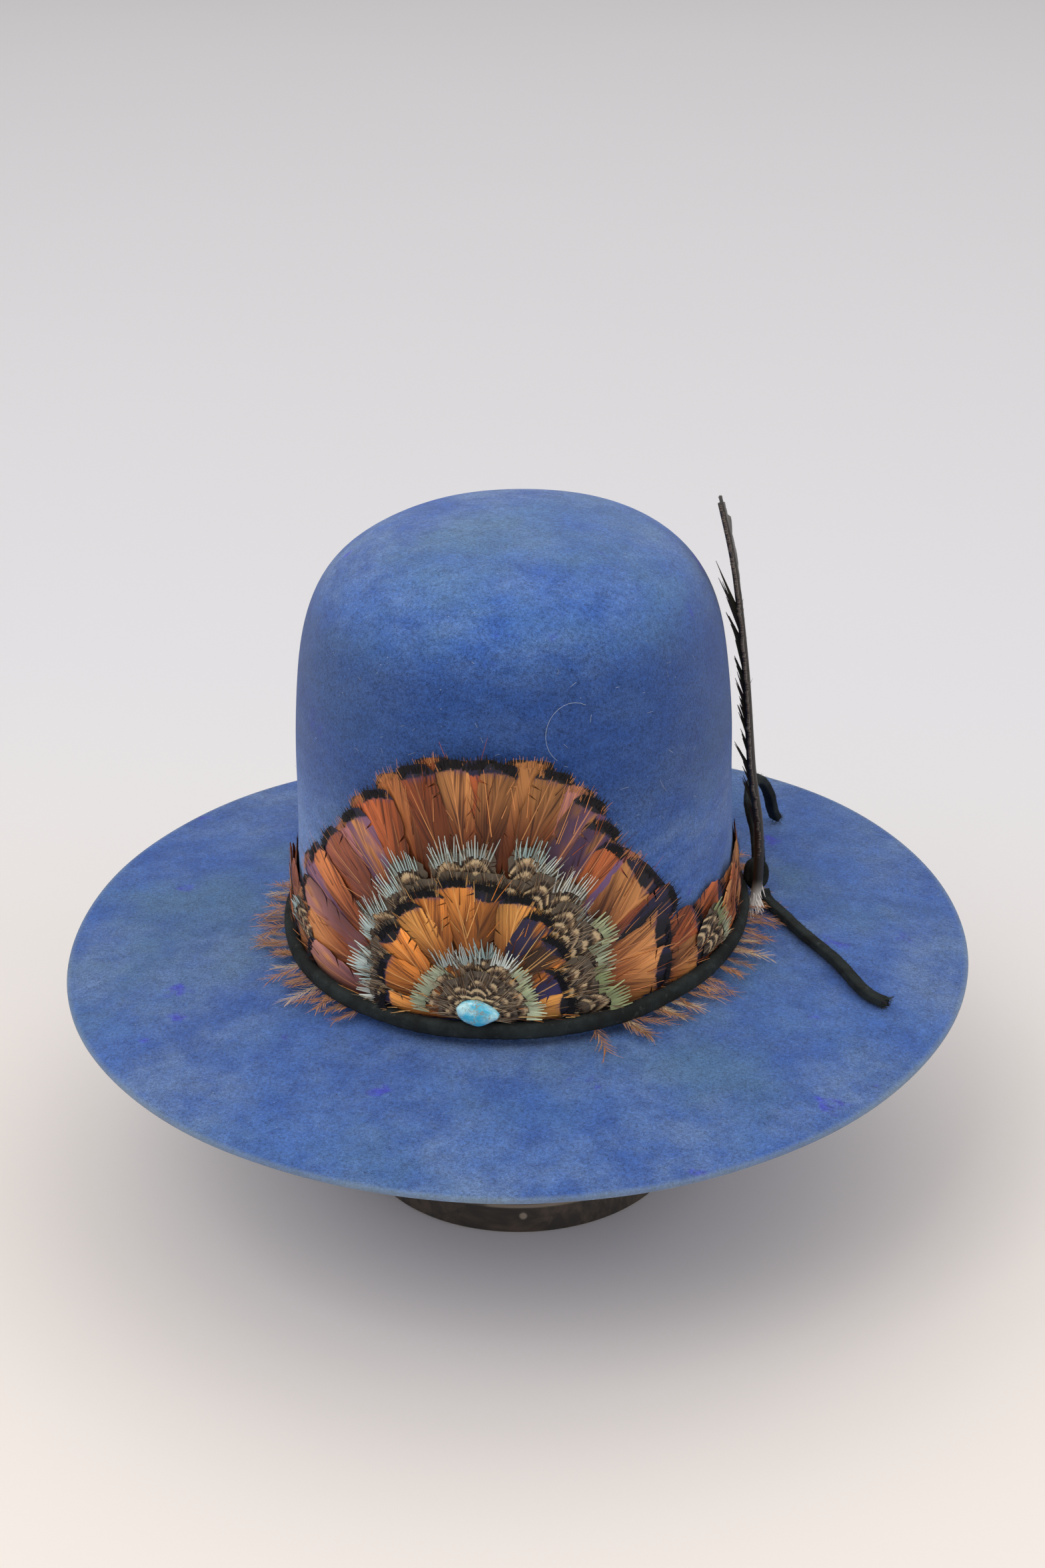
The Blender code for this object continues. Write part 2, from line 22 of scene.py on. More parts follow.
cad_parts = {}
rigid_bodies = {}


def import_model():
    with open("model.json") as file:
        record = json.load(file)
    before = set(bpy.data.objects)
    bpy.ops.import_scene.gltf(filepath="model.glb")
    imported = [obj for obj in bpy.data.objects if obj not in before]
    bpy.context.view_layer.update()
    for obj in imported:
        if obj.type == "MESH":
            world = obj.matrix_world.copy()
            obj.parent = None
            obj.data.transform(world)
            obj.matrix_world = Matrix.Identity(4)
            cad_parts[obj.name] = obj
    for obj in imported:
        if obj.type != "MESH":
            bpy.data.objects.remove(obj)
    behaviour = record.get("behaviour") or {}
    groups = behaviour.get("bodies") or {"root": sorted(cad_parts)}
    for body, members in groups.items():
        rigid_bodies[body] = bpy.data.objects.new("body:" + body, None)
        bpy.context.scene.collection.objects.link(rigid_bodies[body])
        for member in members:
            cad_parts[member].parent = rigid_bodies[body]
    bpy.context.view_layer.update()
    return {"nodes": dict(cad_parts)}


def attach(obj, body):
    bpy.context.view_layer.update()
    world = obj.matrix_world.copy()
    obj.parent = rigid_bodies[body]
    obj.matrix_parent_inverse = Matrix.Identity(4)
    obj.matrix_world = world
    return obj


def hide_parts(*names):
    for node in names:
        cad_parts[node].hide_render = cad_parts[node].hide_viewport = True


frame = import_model()

LOG = logging.getLogger("felt_hat")
BODY = "root"

Colour = tuple[float, float, float]
Row = tuple[float, ...]
Item = bpy.types.Object
Material = bpy.types.Material


class Slot(Enum):
    """The record's material slots."""

    FELT = "felt"
    FEATHERS = "feathers"
    DARK_FEATHER = "dark_feather"
    LACE = "lace"
    STONE = "stone"
    WOOD = "stand_wood"


class Marking(Enum):
    """How a feather's vane is marked."""

    TIPPED = "a dark bar along the tip"
    SCALLOPED = "cream and black scallops below a grey tip"


# Node trees


class Value:
    """One number, colour or vector in a node tree. Operators on numbers add Math nodes."""

    def __init__(self, tree: "Tree", socket: bpy.types.NodeSocket) -> None:
        """Wraps a node's output socket and the tree that it is in."""
        self.tree = tree
        self.socket = socket

    def math(self, operation: str, *others: "Value | float") -> "Value":
        """The result of a Math node whose first operand is this value."""
        inputs = dict(enumerate((self, *others)))
        return self.tree.node("ShaderNodeMath", {"operation": operation}, inputs)

    def __add__(self, other: "Value | float") -> "Value":
        """This value plus another."""
        return self.math("ADD", other)

    def __sub__(self, other: "Value | float") -> "Value":
        """This value less another."""
        return self.math("SUBTRACT", other)

    def __rsub__(self, other: float) -> "Value":
        """A number less this value."""
        return self.tree.node("ShaderNodeMath", {"operation": "SUBTRACT"}, {0: other, 1: self})

    def __mul__(self, other: "Value | float") -> "Value":
        """This value times another."""
        return self.math("MULTIPLY", other)

    __radd__ = __add__
    __rmul__ = __mul__

    def absolute(self) -> "Value":
        """This value without its sign."""
        return self.math("ABSOLUTE")

    def step(self, low: float, high: float) -> "Value":
        """A smooth step of this value.

        Args:
            low: where the result is 0.
            high: where the result is 1. It may be below low.

        Returns:
            A value from 0 to 1.
        """
        inputs: dict[Any, Any] = {"Value": self, "From Min": low, "From Max": high}
        if high < low:
            inputs.update({"From Min": high, "From Max": low, "To Min": 1.0, "To Max": 0.0})
        return self.tree.node("ShaderNodeMapRange", {"interpolation_type": "SMOOTHSTEP"}, inputs)

    def band(self, middle: float, width: float, soft: float) -> "Value":
        """1 within a band of some width round a middle, fading to 0 over a soft edge."""
        return (self - middle).absolute().step(width / 2 + soft, width / 2)


class Tree:
    """A node tree, with one method that adds any node to it."""

    def __init__(self, tree: bpy.types.NodeTree) -> None:
        """Wraps a material's or modifier's tree."""
        self.tree = tree

    def node(
        self,
        kind: str,
        settings: dict[str, Any] | None = None,
        inputs: dict[Any, Any] | None = None,
        output: int | str = 0,
    ) -> Value:
        """Adds a node.

        Args:
            kind: the node's type.
            settings: its own settings, set before its sockets.
            inputs: a value or a link for each of its sockets, by name or number.
            output: the output that is wanted, by name or number.

        Returns:
            The wanted output.
        """
        node = self.tree.nodes.new(kind)
        for name, value in (settings or {}).items():
            setattr(node, name, value)
        for name, value in (inputs or {}).items():
            if isinstance(value, Value):
                self.tree.links.new(value.socket, node.inputs[name])
            else:
                node.inputs[name].default_value = value
        return Value(self, node.outputs[output])

    def parts(self, vector: Value) -> tuple[Value, ...]:
        """A vector's X, Y and Z."""
        first = self.node("ShaderNodeSeparateXYZ", None, {0: vector})
        return tuple(Value(self, socket) for socket in first.socket.node.outputs)

    def vector(self, x: Value | float, y: Value | float, z: Value | float) -> Value:
        """A vector from three numbers."""
        return self.node("ShaderNodeCombineXYZ", None, {0: x, 1: y, 2: z})


class Paint(Tree):
    """A material in the making."""

    def __init__(self, name: str, roughness: float, specular: float = 0.5, **more: float) -> None:
        """Starts a material.

        Args:
            name: the material's name.
            roughness: how rough it is where nothing varies it.
            specular: how strongly it mirrors what it faces.
            more: values of the shader's other sockets, with _ for a space.
        """
        self.material = bpy.data.materials.new(name)
        self.material.use_nodes = True
        super().__init__(self.material.node_tree)
        self.shader = self.tree.nodes["Principled BSDF"]
        self.shader.inputs["Roughness"].default_value = roughness
        self.shader.inputs["Specular IOR Level"].default_value = specular
        for socket, value in more.items():
            self.shader.inputs[socket.replace("_", " ").title()].default_value = value

    def place(self) -> Value:
        """The place on the piece, in metres."""
        return self.node("ShaderNodeTexCoord", output="Object")

    def attribute(self, name: str, output: str = "Vector") -> Value:
        """One of the mesh's own attributes."""
        return self.node("ShaderNodeAttribute", {"attribute_name": name}, None, output)

    def noise(
        self, at: Value, scale: float, detail: float = 3.0, rough: float = 0.5, bend: float = 0.0
    ) -> Value:
        """Noise from 0 to 1, with so many spots to the unit and finer layers over them."""
        inputs = {0: at, "Scale": scale, "Detail": detail, "Roughness": rough, "Distortion": bend}
        return self.node("ShaderNodeTexNoise", None, inputs)

    def mix(
        self, share: Value | float, first: Value | Colour, second: Value | Colour, way: str = "MIX"
    ) -> Value:
        """Mixes two colours.

        Args:
            share: how much of the second there is.
            first: the first colour.
            second: the second colour.
            way: Blender's name for how they are blended.

        Returns:
            The mixed colour.
        """
        colours = [c if isinstance(c, Value) else (*c, 1.0) for c in (first, second)]
        inputs = {"Factor": share, 6: colours[0], 7: colours[1]}
        return self.node("ShaderNodeMix", {"data_type": "RGBA", "blend_type": way}, inputs, 2)

    def shade(self, colour: Value | Colour, by: Value) -> Value:
        """A colour made lighter or darker by a number."""
        return self.mix(1.0, colour, self.vector(by, by, by), "MULTIPLY")

    def finish(
        self,
        colour: Value,
        roughness: Value | None = None,
        height: Value | None = None,
        depth: float = 0.0002,
        strength: float = 0.5,
    ) -> Material:
        """Links the results to the shader.

        Args:
            colour: the base colour.
            roughness: the roughness, if it varies.
            height: the bumps' height from 0 to 1, if there are bumps.
            depth: how high the bumps are, in metres.
            strength: how strong the bumps are.

        Returns:
            The finished material.
        """
        results = {"Base Color": colour, "Roughness": roughness}
        if height is not None:
            inputs = {"Height": height, "Distance": depth, "Strength": strength}
            results["Normal"] = self.node("ShaderNodeBump", None, inputs)
        for name, value in results.items():
            if value is not None:
                self.tree.links.new(value.socket, self.shader.inputs[name])
        return self.material


class Scatter(Tree):
    """A Geometry Nodes tree that puts a shape on points and gives it a finish."""

    def __init__(self, name: str) -> None:
        """Starts the tree.

        Args:
            name: the tree's name.
        """
        super().__init__(bpy.data.node_groups.new(name, "GeometryNodeTree"))
        for way in ("INPUT", "OUTPUT"):
            self.tree.interface.new_socket("Geometry", in_out=way, socket_type="NodeSocketGeometry")
        self.entry = self.tree.nodes.new("NodeGroupInput")
        self.exit = self.tree.nodes.new("NodeGroupOutput")

    def size(self, name: str, kind: str) -> Value:
        """A named input of the tree, made with its type of socket."""
        self.tree.interface.new_socket(name, in_out="INPUT", socket_type=kind)
        return Value(self, self.entry.outputs[name])

    def named(self, name: str, kind: str = "FLOAT_VECTOR") -> Value:
        """An attribute of the points."""
        return self.node("GeometryNodeInputNamedAttribute", {"data_type": kind}, {"Name": name})

    def close(self, shape: Value, extra: dict[Any, Any]) -> None:
        """Puts the shape on the points, makes it real and gives it its finish.

        Args:
            shape: what is put on each point.
            extra: more inputs of the node that does it.
        """
        finish = self.size("Finish", "NodeSocketMaterial")
        turn = self.node("FunctionNodeEulerToRotation", None, {0: self.named("turn")})
        points = Value(self, self.entry.outputs["Geometry"])
        inputs = {"Points": points, "Instance": shape, "Rotation": turn, "Scale": self.named("size")}
        placed = self.node("GeometryNodeInstanceOnPoints", None, {**inputs, **extra})
        real = self.node("GeometryNodeRealizeInstances", None, {"Geometry": placed})
        done = self.node("GeometryNodeSetMaterial", None, {"Geometry": real, "Material": finish})
        self.tree.links.new(done.socket, self.exit.inputs["Geometry"])

    def make(self, name: str, points: Item, values: dict[str, Any]) -> Item:
        """Runs the tree on a cloud of points and keeps the result as a plain mesh.

        Args:
            name: the new piece's name.
            points: the cloud, which is removed.
            values: the tree's named inputs.

        Returns:
            The new piece.
        """
        modifier = points.modifiers.new("scatter", "NODES")
        modifier.node_group = self.tree
        for item in self.tree.interface.items_tree:
            if item.in_out == "INPUT" and item.name in values:
                modifier[item.identifier] = values[item.name]
        graph = bpy.context.evaluated_depsgraph_get()
        mesh = bpy.data.meshes.new_from_object(points.evaluated_get(graph))
        bpy.data.objects.remove(points, do_unlink=True)
        mesh.name = name
        return link(bpy.data.objects.new(name, mesh))


# Meshes


def link(item: Item) -> Item:
    """Puts an object in the scene."""
    bpy.context.scene.collection.objects.link(item)
    return item


def mesh_object(
    name: str, points: np.ndarray, faces: Sequence[Sequence[int]], material: Material | None = None
) -> Item:
    """An object with a smooth mesh.

    Args:
        name: the object's name.
        points: its points.
        faces: its faces' corners.
        material: its finish.

    Returns:
        The object, in the scene.
    """
    mesh = bpy.data.meshes.new(name)
    mesh.from_pydata([tuple(map(float, p)) for p in points], [], faces)
    mesh.shade_smooth()
    if material:
        mesh.materials.append(material)
    return link(bpy.data.objects.new(name, mesh))


def from_bmesh(bm: bmesh.types.BMesh, name: str) -> Item:
    """An object with the smooth mesh that was made in a bmesh.

    Args:
        bm: the bmesh, which is freed.
        name: the object's name.

    Returns:
        The object, in the scene.
    """
    mesh = bpy.data.meshes.new(name)
    bm.to_mesh(mesh)
    bm.free()
    mesh.shade_smooth()
    return link(bpy.data.objects.new(name, mesh))


def read(item: Item, what: str = "co") -> np.ndarray:
    """Reads a row of three numbers for each point of an object.

    Args:
        item: the object.
        what: Blender's name for the numbers, which are the places if none is given.

    Returns:
        The rows.
    """
    rows = np.empty(len(item.data.vertices) * 3)
    item.data.vertices.foreach_get(what, rows)
    return rows.reshape(-1, 3)


def write(item: Item, places: np.ndarray) -> None:
    """Moves an object's points to new places."""
    item.data.vertices.foreach_set("co", places.ravel())
    item.data.update()


def store(item: Item, name: str, values: Any, kind: str = "FLOAT_VECTOR") -> None:
    """Stores an attribute on an object's points.

    Args:
        item: the object.
        name: the attribute's name.
        values: a number, or a row of numbers, for each point.
        kind: its type.
    """
    layer = item.data.attributes.new(name, kind, "POINT")
    word = {"INT": "value", "FLOAT_VECTOR": "vector", "FLOAT_COLOR": "color"}[kind]
    layer.data.foreach_set(word, np.asarray(values).ravel())


def strip_faces(rows: int, columns: int, around: bool, along: bool = False) -> list[list[int]]:
    """The faces of a grid of points.

    Args:
        rows: how many rows of points.
        columns: how many points to a row.
        around: whether each row closes on itself.
        along: whether the last row joins the first.

    Returns:
        The faces' corners, facing out where rows go down and columns go right.
    """
    faces = []
    for i in range(rows if along else rows - 1):
        here, below = i * columns, (i + 1) % rows * columns
        for j in range(columns if around else columns - 1):
            k = (j + 1) % columns
            faces.append([here + j, below + j, below + k, here + k])
    return faces


def curve_through(route: Sequence[Sequence[float]], count: int) -> np.ndarray:
    """Evenly spaced points on a smooth curve through a route's points.

    Args:
        route: the points that the curve goes through.
        count: how many points are wanted.

    Returns:
        The points, one to a row.
    """
    p = np.array(route, float)
    p = np.vstack([2 * p[0] - p[1], p, 2 * p[-1] - p[-2]])
    t = np.linspace(0.0, 1.0, 40, endpoint=False)[:, None]
    fine = [
        b + (c - a) * t / 2 + (2 * a - 5 * b + 4 * c - d) * t**2 / 2 + (3 * b - a - 3 * c + d) * t**3 / 2
        for a, b, c, d in zip(p, p[1:], p[2:], p[3:])
    ]
    cloud = np.vstack([*fine, p[-2]])
    along = np.concatenate([[0.0], np.cumsum(np.linalg.norm(np.diff(cloud, axis=0), axis=1))])
    spots = np.linspace(0.0, along[-1], count)
    return np.stack([np.interp(spots, along, cloud[:, k]) for k in range(3)], axis=1)


def unit(rows: np.ndarray) -> np.ndarray:
    """Vectors, one to a row, at length 1."""
    return rows / np.linalg.norm(rows, axis=1, keepdims=True)


def directions(line: np.ndarray, closed: bool = False) -> np.ndarray:
    """The way that a line goes at each of its points.

    Args:
        line: the line's points.
        closed: whether its end joins its start.

    Returns:
        A unit vector for each point.
    """
    if closed:
        return unit(np.roll(line, -1, axis=0) - np.roll(line, 1, axis=0))
    return unit(np.gradient(line, axis=0))


def heading(angle: float, rise: float) -> tuple[float, float, float]:
    """The way to an angle in degrees on the unrolled crown, rising off the felt."""
    return math.cos(math.radians(angle)), math.sin(math.radians(angle)), rise


def tinted(colour: Iterable[float], shade: float) -> Colour:
    """A colour made lighter or darker."""
    return tuple(part * shade for part in colour)


@dataclass(frozen=True)
class LaceSection:
    """The rounded section of a soft leather lace.

    Attributes:
        half_width: half its wider side.
        half_thickness: half its thinner side.
        sides: how many points go round it.
        power: how square its corners are.
    """

    half_width: float
    half_thickness: float
    sides: int = 16
    power: float = 0.75

    def along(self, line: np.ndarray, up: np.ndarray, closed: bool, name: str) -> Item:
        """Carries the section along a line.

        Args:
            line: the line's points.
            up: the way that the thin side faces, for all points or for each.
            closed: whether the line's end joins its start.
            name: the new object's name.

        Returns:
            The lace, with its ends closed where it has any.
        """
        turn = np.linspace(0.0, 2 * math.pi, self.sides, endpoint=False)
        halves = ((np.cos(turn), self.half_width), (np.sin(turn), self.half_thickness))
        wide, thin = (np.sign(part) * np.abs(part) ** self.power * half for part, half in halves)
        way = directions(line, closed)
        side = unit(np.cross(way, up))
        face = np.cross(side, way)
        rings = []
        for i, point in enumerate(line):
            swell = 1.0 + 0.04 * math.sin(i * 1.7) * math.sin(i * 0.61 + 1.0)
            rings.append(point + (wide * swell)[:, None] * side[i] + (thin * swell)[:, None] * face[i])
        faces = strip_faces(len(rings), self.sides, True, closed)
        if not closed:
            faces += end_caps(len(rings), self.sides)
        item = mesh_object(name, np.vstack(rings), faces)
        face_out(item)
        return item


def end_caps(rings: int, sides: int) -> list[list[int]]:
    """The two faces that close a tube of rings with some sides."""
    last = (rings - 1) * sides
    return [list(range(sides))[::-1], list(range(last, last + sides))]


def face_out(item: Item) -> None:
    """Turns a closed mesh's faces outwards.

    Args:
        item: the mesh's object.
    """
    bm = bmesh.new()
    bm.from_mesh(item.data)
    bmesh.ops.recalc_face_normals(bm, faces=bm.faces)
    bm.to_mesh(item.data)
    bm.free()
    item.data.shade_smooth()


def join(name: str, items: Sequence[Item]) -> Item:
    """Joins objects into one.

    Args:
        name: the new object's name.
        items: the objects, which are removed.

    Returns:
        The joined object.
    """
    bm = bmesh.new()
    for item in items:
        bm.from_mesh(item.data)
        bpy.data.objects.remove(item, do_unlink=True)
    return from_bmesh(bm, name)


def keep(item: Item, slot: Slot, *nodes: str) -> Item:
    """Makes an object a piece of the hat.

    Args:
        item: the object.
        slot: the record's slot that its finish belongs to. It is not used.
        nodes: the solids that it stands for.

    Returns:
        The same object.
    """
    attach(item, BODY)
    if nodes:
        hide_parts(*nodes)
    faces = len(item.data.polygons)
    LOG.info("%s: %d faces, in place of %s", item.name, faces, ", ".join(nodes) or "nothing")
    return item


# The crown, which carries the rest


@dataclass(frozen=True)
class CrownForm:
    """The felt's outer shape, in the sizes of the solids.

    Attributes:
        level: the height of the lace's middle above the floor.
        half_width: the crown's half width at its foot.
        half_depth: the crown's half depth at its foot.
        height: the crown's height above the lace's middle.
        taper: how much narrower the crown gets towards its top.
        shoulder: how late the crown rounds over.
        cap: how round the crown's top is.
        root: how far the brim starts below the lace's middle.
        fillet: the bend's radius between crown and brim.
        brim_half_width: the brim's half width.
        brim_half_depth: the brim's half depth.
        droop: how far the brim's edge lies below its root.
        droop_power: how late the brim droops.
        waves: the brim edge's waves: how many round the hat, cosine's and sine's height.
        clearance: how far above the brim the trim stays.
    """

    level: float = 0.1148
    half_width: float = 0.0867
    half_depth: float = 0.0988
    height: float = 0.1612
    taper: float = 0.05
    shoulder: float = 7.5
    cap: float = 3.0
    root: float = 0.0063
    fillet: float = 0.0025
    brim_half_width: float = 0.1806
    brim_half_depth: float = 0.1878
    droop: float = 0.0076
    droop_power: float = 1.2
    waves: tuple[Row, ...] = ((2, -0.0010, -0.0010), (3, 0.0009, 0.0002), (4, -0.0004, -0.0007))
    clearance: float = 0.0002

    def scale(self, rise: np.ndarray) -> np.ndarray:
        """How wide the crown is at shares of its height, against its foot."""
        rise = np.clip(rise, 0.0, 1.0)
        return (1 - self.taper * rise) * (1 - rise**self.shoulder) ** (1 / self.cap)

    def foot(self) -> tuple[np.ndarray, np.ndarray]:
        """Measures the crown's foot.

        Returns:
            Turns from the front, and the way along the foot to each.
        """
        turns = np.linspace(0.0, 2 * math.pi, 721)
        x = self.half_width * np.sin(turns)
        y = -self.half_depth * np.cos(turns)
        steps = np.hypot(np.diff(x), np.diff(y))
        return turns, np.concatenate([[0.0], np.cumsum(steps)])

    def half_round(self) -> float:
        """Half the way round the crown's foot."""
        return float(self.foot()[1][-1]) / 2

    def brim_height(self, share: np.ndarray, turn: np.ndarray) -> np.ndarray:
        """The brim's upper face above the lace's middle, at shares of the way out."""
        wave = sum(c * np.cos(n * turn) + s * np.sin(n * turn) for n, c, s in self.waves)
        return -self.root - self.droop * share**self.droop_power + wave * share**2

    def brim_top(self, x: np.ndarray, y: np.ndarray) -> np.ndarray:
        """The brim's upper face above the floor, under places in plan.

        Args:
            x: the places' X.
            y: the places' Y.

        Returns:
            The heights.
        """
        turn = np.arctan2(x / self.brim_half_width, -y / self.brim_half_depth)
        root = np.hypot(
            (self.half_width + self.fillet) * np.sin(turn),
            (self.half_depth + self.fillet) * np.cos(turn),
        )
        edge = np.hypot(self.brim_half_width * np.sin(turn), self.brim_half_depth * np.cos(turn))
        share = np.clip((np.hypot(x, y) - root) / (edge - root), 0.0, 1.0)
        return self.level + self.brim_height(share, turn)

    def wrap(self, flat: np.ndarray) -> np.ndarray:
        """Wraps places on the unrolled crown round the real one.

        Args:
            flat: rows of the way along, the height and the distance off the felt.

        Returns:
            The places in metres.
        """
        turns, lengths = self.foot()
        turn = np.interp(np.mod(flat[:, 0], lengths[-1]), lengths, turns)
        scale = self.scale(flat[:, 1] / self.height)
        out = unit(np.stack([np.sin(turn) / self.half_width, -np.cos(turn) / self.half_depth], axis=1))
        x = self.half_width * scale * np.sin(turn) + out[:, 0] * flat[:, 2]
        y = -self.half_depth * scale * np.cos(turn) + out[:, 1] * flat[:, 2]
        return np.stack([x, y, self.level + flat[:, 1]], axis=1)

    def wrap_mesh(self, item: Item) -> None:
        """Wraps a piece that was laid out flat, and keeps it above the brim.

        Args:
            item: the piece.
        """
        places = self.wrap(read(item))
        floor = self.brim_top(places[:, 0], places[:, 1]) + self.clearance
        places[:, 2] = np.maximum(places[:, 2], floor)
        write(item, places)


# Finishes


@dataclass(frozen=True)
class FeltFinish:
    """Dyed fur felt: clouds of several blues, a speckled nap and a few specks of lint.

    Attributes:
        blue: the main blue. The colours after it lie over it in clouds and spots.
        edge: the worn colour of the brim's rim.
        lint: the specks' colour.
        flank: heights between which painted shade makes the crown's side darker, and again where it
            ends.
        worn: where painted light makes the lower part of the crown's right side lighter: from X, from a
            height and up to a height.
        top: the heights between which the crown's top gets lighter.
    """

    blue: Colour = (0.044, 0.118, 0.365)
    deep: Colour = (0.020, 0.072, 0.290)
    grey: Colour = (0.100, 0.168, 0.335)
    green: Colour = (0.058, 0.132, 0.235)
    violet: Colour = (0.040, 0.040, 0.450)
    edge: Colour = (0.230, 0.290, 0.300)
    lint: Colour = (0.420, 0.500, 0.600)
    flank: tuple[Row, Row] = ((0.165, 0.205), (0.266, 0.238))
    worn: tuple[Row, Row, Row] = ((-0.03, -0.09), (0.112, 0.125), (0.230, 0.150))
    top: Row = (0.240, 0.268)

    def paint(self) -> Material:
        """Makes the material.

        Returns:
            The material.
        """
        p = Paint("dyed_felt", 0.95, 0.20, sheen_weight=0.18, sheen_roughness=0.5)
        at = p.place()
        x, y, level = p.parts(at)
        wide = p.vector(x, y, level * 2.2)
        clouds = p.noise(wide, 13.0, 6.0, 0.68)
        patches = p.noise(wide, 40.0, 6.0, 0.75)
        tint = p.noise(p.mix(1.0, wide, (3.1, 1.7, 0.4), "ADD"), 8.0, 5.0, 0.65)
        spots = p.noise(p.mix(1.0, at, (7.3, 2.9, 5.2), "ADD"), 36.0, 4.0, 0.6)
        nap = p.noise(at, 850.0, 4.0, 0.85).step(0.30, 0.70)
        grain = p.noise(at, 2400.0, 2.0, 0.8).step(0.30, 0.70)
        colour = p.mix(clouds.step(0.34, 0.66), self.blue, self.grey)
        colour = p.mix(patches.step(0.38, 0.66) * 0.72, colour, self.deep)
        colour = p.mix(tint.step(0.46, 0.68) * 0.68, colour, self.green)
        colour = p.mix(spots.step(0.64, 0.73) * 0.75, colour, self.violet)
        # Painted shade: the crown's side between two heights is made darker and deeper blue. The crown's
        # top is made lighter.
        flank = level.step(*self.flank[0]) * level.step(*self.flank[1])
        # Painted light: the lower crown towards -X is made lighter, where the light falls from.
        worn = x.step(*self.worn[0]) * level.step(*self.worn[1]) * level.step(*self.worn[2])
        painted_light_and_shade = 1.18 + 0.12 * level.step(*self.top) + 0.40 * worn - 0.36 * flank
        # Greyer where that painted light falls, and deeper blue in the painted shade on the side.
        colour = p.mix(worn * 0.7, colour, self.grey)
        colour = p.mix(flank * 0.60, colour, self.deep)
        mottle = p.noise(wide, 130.0, 5.0, 0.7).step(0.34, 0.66)
        shade = 0.12 + 0.70 * nap + 0.58 * grain + 0.24 * tint + 0.18 * mottle
        colour = p.shade(colour, shade * painted_light_and_shade)
        dots = p.node("ShaderNodeTexVoronoi", None, {0: at, "Scale": 420.0}, "Distance")
        specks = dots.step(0.10, 0.05) * p.noise(at, 160.0, 1.0).step(0.60, 0.66)
        colour = p.mix(specks * 0.7, colour, self.lint)
        rim, _, _ = p.parts(p.attribute("rim"))
        colour = p.mix(rim * 0.45, colour, self.edge)
        return p.finish(colour, None, nap * 0.6 + grain * 0.4, 0.00025, 0.6)


